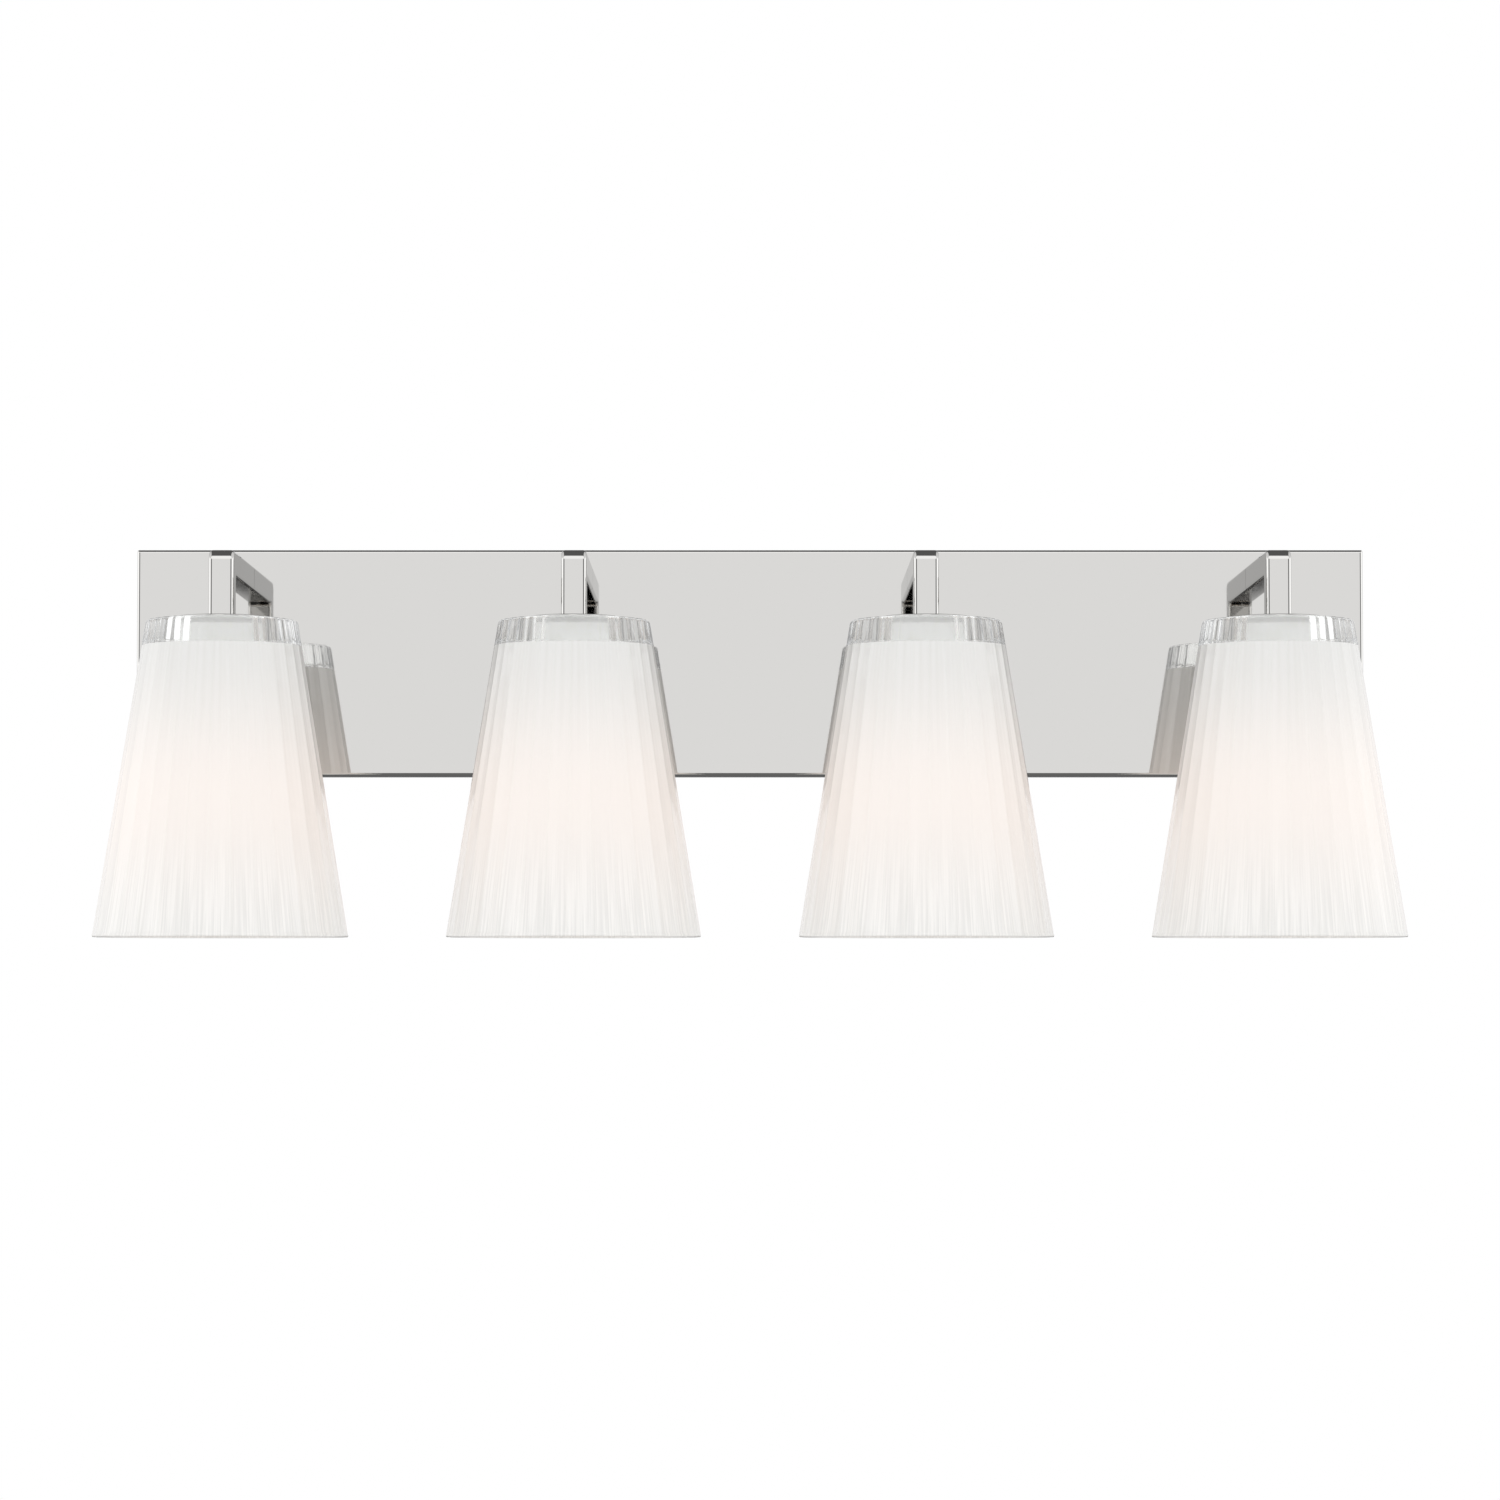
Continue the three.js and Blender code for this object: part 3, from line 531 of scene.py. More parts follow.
def turned_tree():
    """A profile turned about Z, with ridges pressed into it.

    Ridges Round counts the ridges in one turn and Ridges Per Metre those along the axis: flutes
    have only the first, and a screw thread has one ridge round and one for each pitch.
    """
    number = "NodeSocketFloat"
    tree, given = new_tree(
        "turned_with_ridges",
        [
            ("Profile", "NodeSocketGeometry"),
            ("Profile Points", "NodeSocketInt"),
            ("Steps Round", "NodeSocketInt"),
            ("Ridges Round", number),
            ("Ridges Per Metre", number),
            ("Ridge Depth", number),
            ("Ridge Sharpness", number),
            ("Fine Ridge Depth", number),
            ("Finish", "NodeSocketMaterial"),
        ],
    )

    across = add(tree, MATH, [given["Steps Round"], 1.0], operation="ADD").outputs[0]
    size = {"Size X": 1.0, "Size Y": 1.0, "Vertices X": across, "Vertices Y": given["Profile Points"]}
    grid = add(tree, "GeometryNodeMeshGrid", size).outputs["Mesh"]
    position = add(tree, "GeometryNodeInputPosition").outputs[0]
    spot = add(tree, "ShaderNodeSeparateXYZ", [position]).outputs
    turn = add(tree, MATH, [spot["X"], 0.5], operation="ADD").outputs[0]
    last = add(tree, MATH, [given["Profile Points"], 1.0], operation="SUBTRACT").outputs[0]
    up = add(tree, MATH, [spot["Y"], 0.5], operation="ADD").outputs[0]
    rows_up = add(tree, MATH, [up, last], operation="MULTIPLY").outputs[0]
    row = add(tree, MATH, [rows_up], operation="ROUND").outputs[0]
    read = {"place": (position, "FLOAT_VECTOR")}
    for name in ("ridge_share", "fine_share"):
        reader = add(tree, "GeometryNodeInputNamedAttribute", {"Name": name}, data_type="FLOAT")
        read[name] = (reader.outputs["Attribute"], "FLOAT")
    known = {socket.name: socket for socket in given}
    for name, (value, data_type) in read.items():
        inputs = {"Geometry": given["Profile"], "Value": value, "Index": row}
        known[name] = add(tree, "GeometryNodeSampleIndex", inputs, data_type=data_type).outputs[0]
    corner = add(tree, "ShaderNodeSeparateXYZ", [known["place"]]).outputs
    known.update({"turn": turn, "radius": corner["X"], "height": corner["Z"]})
    sums = (
        ("along", "MULTIPLY", "height", "Ridges Per Metre"),
        ("ridges", "MULTIPLY", "turn", "Ridges Round"),
        ("phase", "ADD", "ridges", "along"),
        ("half turns", "MULTIPLY", "phase", math.pi),
        ("swing", "SINE", "half turns"),
        ("arches", "ABSOLUTE", "swing"),
        ("wave", "POWER", "arches", "Ridge Sharpness"),
        ("fine turns", "MULTIPLY", "half turns", 3.0),
        ("fine swing", "SINE", "fine turns"),
        ("fine wave", "ABSOLUTE", "fine swing"),
        ("shared wave", "MULTIPLY", "wave", "ridge_share"),
        ("press", "MULTIPLY", "shared wave", "Ridge Depth"),
        ("shared fine wave", "MULTIPLY", "fine wave", "fine_share"),
        ("fine press", "MULTIPLY", "shared fine wave", "Fine Ridge Depth"),
        ("pressed radius", "SUBTRACT", "radius", "press"),
        ("last radius", "SUBTRACT", "pressed radius", "fine press"),
        ("angle", "MULTIPLY", "turn", math.tau),
        ("cosine", "COSINE", "angle"),
        ("sine", "SINE", "angle"),
        ("X", "MULTIPLY", "last radius", "cosine"),
        ("Y", "MULTIPLY", "last radius", "sine"),
        ("between ridges", "SUBTRACT", 1.0, "wave"),
        ("crest", "MULTIPLY", "between ridges", "ridge_share"),
    )
    for name, operation, *terms in sums:
        terms = [known.get(term, term) for term in terms]
        known[name] = add(tree, MATH, terms, operation=operation).outputs[0]
    parts = {"X": known["X"], "Y": known["Y"], "Z": known["height"]}
    place = add(tree, "ShaderNodeCombineXYZ", parts).outputs[0]
    bent = add(tree, "GeometryNodeSetPosition", {"Geometry": grid, "Position": place}).outputs[0]
    placed = add(tree, "GeometryNodeInputPosition").outputs[0]
    marks = (("own_place", placed, "FLOAT_VECTOR"), ("crest", known["crest"], "FLOAT"))
    for name, value, data_type in marks:
        inputs = {"Geometry": bent, "Name": name, "Value": value}
        bent = add(tree, STORE, inputs, data_type=data_type, domain="POINT").outputs[0]
    closed = add(tree, "GeometryNodeMergeByDistance", {"Geometry": bent, "Distance": SAME_PLACE})
    return finish_tree(tree, closed.outputs[0], given["Finish"])


def wire_tree():
    """A round wire along a route of corners, each rounded to a bend."""
    tree, given = new_tree(
        "wire_along_route",
        [
            ("Route", "NodeSocketGeometry"),
            ("Radius", "NodeSocketFloat"),
            ("Bend Radius", "NodeSocketFloat"),
            ("Bend Steps", "NodeSocketInt"),
            ("Sides", "NodeSocketInt"),
            ("Finish", "NodeSocketMaterial"),
        ],
    )
    line = add(tree, "GeometryNodeMeshToCurve", {"Mesh": given["Route"]}).outputs[0]
    inputs = {"Curve": line, "Radius": given["Bend Radius"], "Count": given["Bend Steps"]}
    inputs["Limit Radius"] = True
    bends = add(tree, "GeometryNodeFilletCurve", inputs, mode="POLY")

    reading = add(tree, "GeometryNodeSplineParameter").outputs
    inputs = {"Resolution": given["Sides"], "Radius": given["Radius"]}
    ring = add(tree, "GeometryNodeCurvePrimitiveCircle", inputs, mode="RADIUS")
    marks = (
        ("along", bends.outputs[0], reading["Length"]),
        ("round", ring.outputs["Curve"], reading["Factor"]),
    )
    curves = []
    for name, curve, value in marks:
        inputs = {"Geometry": curve, "Name": name, "Value": value}
        curves.append(add(tree, STORE, inputs, data_type="FLOAT", domain="POINT").outputs[0])
    route, section = curves
    inputs = {"Curve": route, "Profile Curve": section, "Fill Caps": True}
    skin = add(tree, "GeometryNodeCurveToMesh", inputs)
    return finish_tree(tree, skin.outputs[0], given["Finish"])


TURNED = turned_tree()
WIRE = wire_tree()

# ------------------------------------------------------------------ pieces


def new_object(name, mesh):
    made = bpy.data.objects.new(name, mesh)
    bpy.context.scene.collection.objects.link(made)
    return made


def settle(piece):
    """Replaces a piece's mesh by the result of its modifiers, and removes them."""
    graph = bpy.context.evaluated_depsgraph_get()
    mesh = bpy.data.meshes.new_from_object(
        piece.evaluated_get(graph), preserve_all_data_layers=True, depsgraph=graph
    )
    old = piece.data
    piece.modifiers.clear()
    piece.data = mesh
    bpy.data.meshes.remove(old)
    mesh.name = piece.name


def crisp(piece, angle=40.0):
    """Keeps flats flat and corners sharp while rounded edges stay smooth."""
    piece.data.set_sharp_from_angle(angle=math.radians(angle))
    weighted = piece.modifiers.new("flats", "WEIGHTED_NORMAL")
    weighted.keep_sharp = True
    settle(piece)


def run_tree(piece, tree, values):
    modifier = piece.modifiers.new(tree.name, "NODES")
    modifier.node_group = tree
    for item in tree.interface.items_tree:
        if item.in_out == "INPUT" and item.name in values:
            modifier[item.identifier] = values[item.name]
    settle(piece)


def on_frame(piece, body, slot, *nodes):
    """Puts a piece on its body and hides the nodes that it stands for."""
    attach(piece, body)
    if nodes:
        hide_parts(*nodes)
    return piece


def bend(start, corner, end, fillet, steps=5):
    """A corner rounded by a short curve that touches both its sides."""
    start, corner, end = (Vector(p) for p in (start, corner, end))
    one, other = start - corner, end - corner
    half = one.angle(other) / 2
    reach = fillet / math.tan(half)
    first = corner + one.normalized() * min(reach, one.length * 0.49)
    last = corner + other.normalized() * min(reach, other.length * 0.49)
    curve = []
    for step in range(steps + 1):
        t = step / steps
        curve.append(first * (1 - t) ** 2 + corner * (2 * t * (1 - t)) + last * t**2)
    return curve


def profile_points(corners, row_length):
    """Corners as (radius, height, fillet, share, fine share), made into a profile of
    (radius, height, share, fine share), with rows no further apart than row_length."""
    corners = [(*corner, 0.0, 0.0, 0.0)[:5] for corner in corners]
    on_axis = corners[0][0] == 0 and corners[-1][0] == 0
    points = []
    for index, (radius, height, fillet, share, fine) in enumerate(corners):
        before = corners[index - 1]
        after = corners[(index + 1) % len(corners)]
        at_end = on_axis and index in (0, len(corners) - 1)
        if fillet and not at_end:
            places = bend(before[:2], (radius, height), after[:2], fillet)
        else:
            places = [Vector((radius, height))]
        points += [(p.x, p.y, share, fine) for p in places]
    if not on_axis:
        points.append(points[0])
    if row_length:
        filled = [points[0]]
        for start, end in zip(points, points[1:]):
            length = math.dist(start[:2], end[:2])
            count = max(1, math.ceil(length / row_length))
            for step in range(1, count + 1):
                t = step / count
                filled.append(tuple(a + (b - a) * t for a, b in zip(start, end)))
        points = filled
    area = sum(a[0] * b[1] - b[0] * a[1] for a, b in zip(points, points[1:]))
    return points if area > 0 else points[::-1]


def turned_mesh(name, corners, finish, steps=64, row_length=None, **ridges):
    points = profile_points(corners, row_length)
    mesh = bpy.data.meshes.new(name)
    mesh.from_pydata([(r * MM, 0, z * MM) for r, z, _, _ in points], [], [])
    for attribute, column in (("ridge_share", 2), ("fine_share", 3)):
        layer = mesh.attributes.new(attribute, "FLOAT", "POINT")
        layer.data.foreach_set("value", [point[column] for point in points])
    piece = new_object(name, mesh)
    values = {
        "Profile Points": len(points),
        "Steps Round": steps,
        "Ridges Round": float(ridges.get("ridges", 0)),
        "Ridges Per Metre": 1 / (ridges["pitch"] * MM) if "pitch" in ridges else 0.0,
        "Ridge Depth": ridges.get("depth", 0.0) * MM,
        "Ridge Sharpness": ridges.get("sharpness", 1.0),
        "Fine Ridge Depth": ridges.get("fine_depth", 0.0) * MM,
        "Finish": FINISH[finish],
    }
    run_tree(piece, TURNED, values)
    return piece


def turned_piece(name, corners, finish, place, angle=40.0, **options):
    """A turned piece at its place: a point in millimetres, or a full matrix in metres."""
    piece = turned_mesh(name, corners, finish, **options)
    matrix = place if isinstance(place, Matrix) else Matrix.Translation(Vector(place) * MM)
    piece.data.transform(matrix)
    crisp(piece, angle)
    return piece


def wire_piece(name, corners, radius, bend_radius, finish, sides=16):
    mesh = bpy.data.meshes.new(name)
    edges = [(i, i + 1) for i in range(len(corners) - 1)]
    mesh.from_pydata([Vector(corner) * MM for corner in corners], edges, [])
    piece = new_object(name, mesh)
    values = {
        "Radius": radius * MM,
        "Bend Radius": bend_radius * MM,
        "Bend Steps": 8,
        "Sides": sides,
        "Finish": FINISH[finish],
    }
    run_tree(piece, WIRE, values)
    crisp(piece)
    return piece


def bridged(name, loops, cap_first, cap_last, finish):
    """Skins a stack of loops that all have the same number of points."""
    count = len(loops[0])
    points = [Vector(point) * MM for loop in loops for point in loop]
    faces = []
    for layer in range(len(loops) - 1):
        low, high = layer * count, (layer + 1) * count
        for i in range(count):
            j = (i + 1) % count
            faces.append((low + i, low + j, high + j, high + i))
    if cap_first:
        faces.append(tuple(reversed(range(count))))
    if cap_last:
        faces.append(tuple(range(len(points) - count, len(points))))
    mesh = bpy.data.meshes.new(name)
    mesh.from_pydata(points, [], faces)
    shape = bmesh.new()
    shape.from_mesh(mesh)
    bmesh.ops.recalc_face_normals(shape, faces=shape.faces)
    for face in shape.faces:
        face.smooth = True
    shape.to_mesh(mesh)
    shape.free()
    mesh.materials.append(FINISH[finish])
    return new_object(name, mesh)


# ------------------------------------------------------------------ pan


def rounded_rectangle(half_width, half_height, radius, y, steps=4):
    """Points of a rounded rectangle in the plane of the wall, at depth y."""
    loop = []
    for quarter, (sx, sz) in enumerate(((1, 1), (-1, 1), (-1, -1), (1, -1))):
        cx, cz = sx * (half_width - radius), sz * (half_height - radius)
        for step in range(steps + 1):
            angle = (quarter + step / steps) * math.pi / 2
            loop.append((cx + radius * math.cos(angle), y, cz + radius * math.sin(angle)))
    return loop


def pan():
    """Folded sheet: from the middle of the face, over the fold, to the wall and back inside."""
    half_width = (PAN_HIGH.x - PAN_LOW.x) / 2
    half_height = (PAN_HIGH.z - PAN_LOW.z) / 2
    section = []
    for step in range(7):
        angle = step / 6 * math.pi / 2
        section.append((PAN_FOLD * (1 - math.sin(angle)), PAN_FACE + PAN_FOLD * (1 - math.cos(angle))))
    section += [(0, -PAN_HEM), (PAN_HEM, 0), (PAN_SHEET - PAN_HEM, 0), (PAN_SHEET, -PAN_HEM)]
    for step in range(4):
        angle = step / 3 * math.pi / 2
        inset = PAN_SHEET + PAN_INNER_FOLD * (1 - math.cos(angle))
        section.append((inset, PAN_INSIDE + PAN_INNER_FOLD * (1 - math.sin(angle))))
    loops = []
    for inset, y in section:
        radius = max(PAN_CORNER - inset, PAN_LEAST_CORNER)
        loops.append(rounded_rectangle(half_width - inset, half_height - inset, radius, y))
    piece = bridged("pan_shell", loops, True, True, "chrome")
    cut_holes(piece)
    crisp(piece, 50.0)
    return on_frame(piece, ROOT, "polished_chrome", "backplate_pan")


def cut_holes(piece):
    """The arms' nipple holes in the face and the two screw holes in the bottom wall."""
    cutters = bmesh.new()

    holes = []
    out_of_face = Matrix.Rotation(math.pi / 2, 4, "X")
    for number in LIGHTS:
        holes.append(((lamp_axis(number).x, PAN_FACE, ARM_AXIS_Z), NIPPLE_HOLE, out_of_face))
    for side in ("left", "right"):
        low, high = box_mm(f"pan_screw_{side}")
        middle = (low + high) / 2
        holes.append(((middle.x, middle.y, PAN_LOW.z), SCREW_HOLE_RADIUS, Matrix.Identity(4)))
    for centre, radius, turn in holes:
        bmesh.ops.create_cone(
            cutters,
            cap_ends=True,
            segments=32,
            radius1=radius * MM,
            radius2=radius * MM,
            depth=CUTTER_LENGTH * MM,
            matrix=Matrix.Translation(Vector(centre) * MM) @ turn,
        )
    mesh = bpy.data.meshes.new("hole_cutters")
    cutters.to_mesh(mesh)
    cutters.free()
    tool = new_object("hole_cutters", mesh)
    cut = piece.modifiers.new("holes", "BOOLEAN")
    cut.object = tool
    cut.solver = "EXACT"
    settle(piece)
    bpy.data.objects.remove(tool)


# ------------------------------------------------------------------ arms


def arm_outline(inset, steps=12):
    """The side outline of an arm: forward distance from the pan's face, and height."""
    reach = PAN_FACE - AXIS_Y
    back = PAN_FACE - ARM_BACK
    rear, front = reach - ARM_SIZE / 2, reach + ARM_SIZE / 2
    under = ARM_TOP - ARM_SIZE
    inner, outer = ARM_BEND_INNER, ARM_BEND_OUTER
    quarter = [math.pi / 2 * step / steps for step in range(steps + 1)]
    points = [(back, under + inset)]
    for angle in reversed(quarter):
        radius = inner + inset
        forward = rear - inner + radius * math.cos(angle)
        points.append((forward, under - inner + radius * math.sin(angle)))
    points += [(rear + inset, ARM_FOOT), (front - inset, ARM_FOOT)]
    for angle in quarter:
        radius = outer - inset
        forward = front - outer + radius * math.cos(angle)
        points.append((forward, ARM_TOP - outer + radius * math.sin(angle)))
    points.append((back, ARM_TOP - inset))
    return points


def arm(number):
    """Square bar with rounded long edges, as a stack of side outlines from left to right."""
    centre = lamp_axis(number).x
    steps = 6
    layers = []
    for step in range(steps + 1):
        angle = math.pi / 2 * (1 - step / steps)
        layers.append((ARM_SIZE / 2 - ARM_EDGE * (1 - math.sin(angle)), ARM_EDGE * (1 - math.cos(angle))))
    layers = [(-x, inset) for x, inset in layers] + [(x, inset) for x, inset in reversed(layers)]
    loops = []
    for x, inset in layers:
        loops.append([(centre + x, PAN_FACE - forward, height) for forward, height in arm_outline(inset)])
    piece = bridged(f"bent_arm_{number}", loops, True, True, "chrome")
    crisp(piece, 50.0)
    return on_frame(piece, ROOT, "polished_chrome", f"arm_{number}")


# ------------------------------------------------------------------ one light


def shade(number):
    """The clear fluted top and the opal fluted body of one shade."""
    place = lamp_axis(number)
    step_radius = shade_radius(SHADE_TOP_THICK) - SHADE_WALL
    join = SHADE_TOP_THICK - STEP_RISE
    inside = step_radius - 0.1
    top = turned_piece(
        f"shade_clear_top_{number}",
        [
            (HOLE_RADIUS, 0, 0.6),
            (TOP_RADIUS, 0, SHADE_SHOULDER, 1, 0),
            (shade_radius(join), -join, 0, 1, 0),
            (inside, -join),
            (inside, -SHADE_TOP_THICK, 0.3),
            (HOLE_RADIUS, -SHADE_TOP_THICK, 0.6),
        ],
        "clear",
        place,
        steps=FLUTES * STEPS_PER_FLUTE,
        ridges=FLUTES,
        depth=FLUTE_DEPTH,
        sharpness=1.0,
    )
    fade = SHADE_HEIGHT - RIM_FADE
    body = turned_piece(
        f"shade_opal_body_{number}",
        [
            (shade_radius(join + SEAM), -join - SEAM, 0, 1, 0),
            (shade_radius(fade), -fade, 0, 1, 1),
            (MOUTH_RADIUS, -SHADE_HEIGHT, 1.2),
            (MOUTH_RADIUS - SHADE_WALL, -SHADE_HEIGHT, 1.2),
            (step_radius, -SHADE_TOP_THICK),
            (step_radius, -join - SEAM),
        ],
        "opal",
        place,
        steps=FLUTES * STEPS_PER_FLUTE,
        ridges=FLUTES,
        depth=FLUTE_DEPTH,
        sharpness=0.8,
        fine_depth=FINE_FLUTE_DEPTH,
    )
    on_frame(top, ROOT, "fluted_glass", f"shade_{number}")
    on_frame(body, ROOT, "fluted_glass", f"shade_{number}")


def lampholder(number):
    """The cap on the glass, the threaded body, its ring below the glass and its screw shell."""
    place = lamp_axis(number)
    cap = turned_piece(
        f"glass_cap_{number}",
        [
            (NIPPLE_HOLE, CLEARANCE, 0.1),
            (CAP_RADIUS, CLEARANCE, 0.2),
            (CAP_RADIUS, CLEARANCE + CAP_THICKNESS, 0.7),
            (NIPPLE_HOLE, CLEARANCE + CAP_THICKNESS, 0.1),
        ],
        "chrome",
        place,
        steps=96,
    )
    on_frame(cap, ROOT, "polished_chrome", f"fitter_cap_{number}")
    thread_top = SHADE_TOP_THICK - 0.5
    body = turned_piece(
        f"lampholder_{number}",
        [
            (0, -SOCKET_WEB_BOTTOM),
            (SOCKET_CAVITY, -SOCKET_WEB_BOTTOM, 0.8),
            (SOCKET_CAVITY, -SOCKET_LENGTH, 0.5),
            (SOCKET_SKIRT, -SOCKET_LENGTH, 1.0),
            (SOCKET_SKIRT, -SOCKET_COLLAR - 0.4, 0.3),
            (SOCKET_RADIUS, -SOCKET_COLLAR, 0.4),
            (SOCKET_RADIUS, -SOCKET_COLLAR + 1, 0, 1),
            (SOCKET_RADIUS, -thread_top - 1, 0, 1),
            (SOCKET_RADIUS, -thread_top),
            (SOCKET_RADIUS, -SOCKET_CHAMFER, 0.4),
            (SOCKET_RADIUS - SOCKET_CHAMFER, 0, 0.4),
            (NIPPLE_HOLE, 0, 0.4),
            (NIPPLE_HOLE, -SOCKET_WELL_TOP, 0.2),
            (SOCKET_WELL_RADIUS, -SOCKET_WELL_TOP),
            (SOCKET_WELL_RADIUS, -SOCKET_WEB_TOP),
            (0, -SOCKET_WEB_TOP),
        ],
        "white_plastic",
        place,
        steps=72,
        row_length=0.6,
        ridges=1,
        pitch=2.5,
        depth=0.7,
    )
    on_frame(body, ROOT, "white_plastic", f"socket_body_{number}")
    ring = turned_piece(
        f"threaded_ring_{number}",
        [
            (RING_BORE, -RING_TOP, 0.3),
            (RING_RADIUS, -RING_TOP, 0.5),
            (RING_RADIUS, -RING_TOP - RING_EDGE, 0, 1),
            (RING_RADIUS, -RING_BOTTOM + RING_EDGE, 0, 1),
            (RING_RADIUS, -RING_BOTTOM, 0.5),
            (RING_BORE, -RING_BOTTOM, 0.3),
        ],
        "white_plastic",
        place,
        steps=RING_RIBS * 6,
        ridges=RING_RIBS,
        depth=0.5,
    )
    on_frame(ring, ROOT, "white_plastic", f"shade_ring_{number}")
    liner = SHELL_INNER + SHELL_LIP
    shell = turned_piece(
        f"screw_shell_liner_{number}",
        [
            (SHELL_INNER, -SHELL_TOP),
            (SHELL_OUTER, -SHELL_TOP),
            (SHELL_OUTER, -SHELL_THREAD_TOP, 0, 1),
            (SHELL_OUTER, -SHELL_THREAD_BOTTOM, 0, 1),
            (SHELL_OUTER, -SHELL_BOTTOM),
            (liner, -SHELL_BOTTOM),
            (liner, -SHELL_THREAD_BOTTOM, 0, 1),
            (liner, -SHELL_THREAD_TOP, 0, 1),
        ],
        "nickel",
        place,
        steps=48,
        row_length=0.6,
        ridges=1,
        pitch=LAMP_THREAD_PITCH,
        depth=0.25,
    )
    on_frame(shell, ROOT, "nickel_plate", f"screw_shell_{number}")
    nipple_place = Matrix.Translation(place * MM)
    nipple(f"threaded_nipple_low_{number}", nipple_place, f"socket_nipple_{number}")


def nipple(name, matrix, node):
    """A hollow lamp thread. Its length comes from the node that it stands for."""
    low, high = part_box(node)
    size = max(high - low) / MM
    inverse = matrix.inverted()
    start = min((inverse @ low).z, (inverse @ high).z) / MM
    end = start + size
    piece = turned_piece(
        name,
        [
            (NIPPLE_BORE, start, 0.3),
            (NIPPLE_RADIUS, start, 0.5, 0),
            (NIPPLE_RADIUS, start + NIPPLE_END, 0, 1),
            (NIPPLE_RADIUS, end - NIPPLE_END, 0, 1),
            (NIPPLE_RADIUS, end, 0.5, 0),
            (NIPPLE_BORE, end, 0.3),
        ],
        "zinc",
        matrix,
        steps=24,
        row_length=0.24,
        ridges=1,
        pitch=NIPPLE_PITCH,
        depth=0.45,
    )
    on_frame(piece, ROOT, "zinc_plated_steel", node)


def bulb_corners():
    """Pear-shaped lamp glass: a sphere below, and a neck that flows out of it above."""
    centre = -LAMP_TIP - LAMP_LENGTH + BULB_RADIUS
    neck = LAMP_BASE_RADIUS - CLEARANCE
    neck_top = -LAMP_TIP - LAMP_BASE_LENGTH - CLEARANCE
    points = []
    for step in range(25):
        angle = -math.pi / 2 + (BULB_SHOULDER + math.pi / 2) * step / 24
        points.append((BULB_RADIUS * math.cos(angle), centre + BULB_RADIUS * math.sin(angle)))
    points[0] = (0, points[0][1])
    start = Vector(points[-1])
    control = Vector((neck, start.y + (start.x - neck) / math.tan(BULB_SHOULDER)))
    end = Vector((neck, neck_top))
    for step in range(1, 13):
        t = step / 12
        spot = start * (1 - t) ** 2 + control * (2 * t * (1 - t)) + end * t**2
        points.append((spot.x, spot.y))
    return [*points, (0, neck_top)]


def lamp(number):
    """The screw-in lamp: frosted glass, threaded shell, black glass insulator and solder tip."""
    place = lamp_axis(number)
    body = f"lamp_{number}"
    glass = turned_piece(f"lamp_glass_{number}", bulb_corners(), "bulb", place, steps=96)
    on_frame(glass, body, "frosted_glass", f"lamp_bulb_{number}")
    top = -LAMP_TIP
    low = top - LAMP_BASE_LENGTH
    shell = turned_piece(
        f"lamp_shell_{number}",
        [
            (0, low),
            (LAMP_BASE_RADIUS, low, 0.4),
            (LAMP_BASE_RADIUS, low + 3, 0, 0),
            (LAMP_BASE_RADIUS, low + 4, 0, 1),
            (LAMP_BASE_RADIUS, top - 5.5, 0, 1),
            (LAMP_BASE_RADIUS - 0.4, top - 4.2, 0.4, 0),
            (LAMP_BASE_RADIUS - 2, top - 3.6, 0.4),
            (0, top - 3.6),
        ],
        "nickel",
        place,
        steps=60,
        row_length=0.45,
        ridges=1,
        pitch=LAMP_THREAD_PITCH,
        depth=LAMP_THREAD_DEPTH,
    )
    on_frame(shell, body, "lamp_shell", f"lamp_base_{number}")
    insulator = turned_piece(
        f"lamp_insulator_{number}",
        [
            (0, top - 3.55),
            (10.9, top - 3.55, 0.4),
            (8.6, top - 2.0, 0.8),
            (4.9, top - 0.9, 0.3),
            (0, top - 0.9),
        ],
        "black_glass",
        place,
        steps=48,
    )
    on_frame(insulator, body, "lamp_shell", f"lamp_base_{number}")
    tip = turned_piece(
        f"lamp_tip_{number}",
        [(0, top - 0.85), (4.5, top - 0.85, 0.2), (3.6, top - 0.1, 0.5), (0, top)],
        "solder",
        place,
        steps=32,
    )
    on_frame(tip, body, "lamp_shell", f"lamp_base_{number}")


# ------------------------------------------------------------------ wiring


def conductor(number, offset, plane, connector_x, name, finish):
    """From the sleeve's end inside the pan, along its lane, down into its connector."""
    x = lamp_axis(number).x
    side = math.copysign(1, x)
    spacing = lamp_axis(2).x - lamp_axis(1).x
    sleeve_end = PAN_INSIDE + SLEEVE_END
    middle = (LIGHTS[0] + LIGHTS[-1]) / 2
    is_outer = number in (LIGHTS[0], LIGHTS[-1])
    place = connector_x + (number - middle) * CONDUCTOR_STEP
    lane = LOW_LANE if is_outer else ARM_AXIS_Z
    corners = [(x + offset, sleeve_end - 1, ARM_AXIS_Z), (x + offset, plane, ARM_AXIS_Z)]
    if is_outer:
        corners.append((x - side * spacing * 0.2, plane, ARM_AXIS_Z))
        corners.append((x - side * spacing * 0.4, plane, lane))
    corners.append((place, plane, lane))
    corners.append((place, plane, CONNECTOR_MOUTH - CONNECTOR_GRIP * 0.7))
    piece = wire_piece(name, corners, CONDUCTOR_RADIUS, CONDUCTOR_BEND, finish)
    on_frame(piece, ROOT, "wire_sleeving", f"lead_{number}")


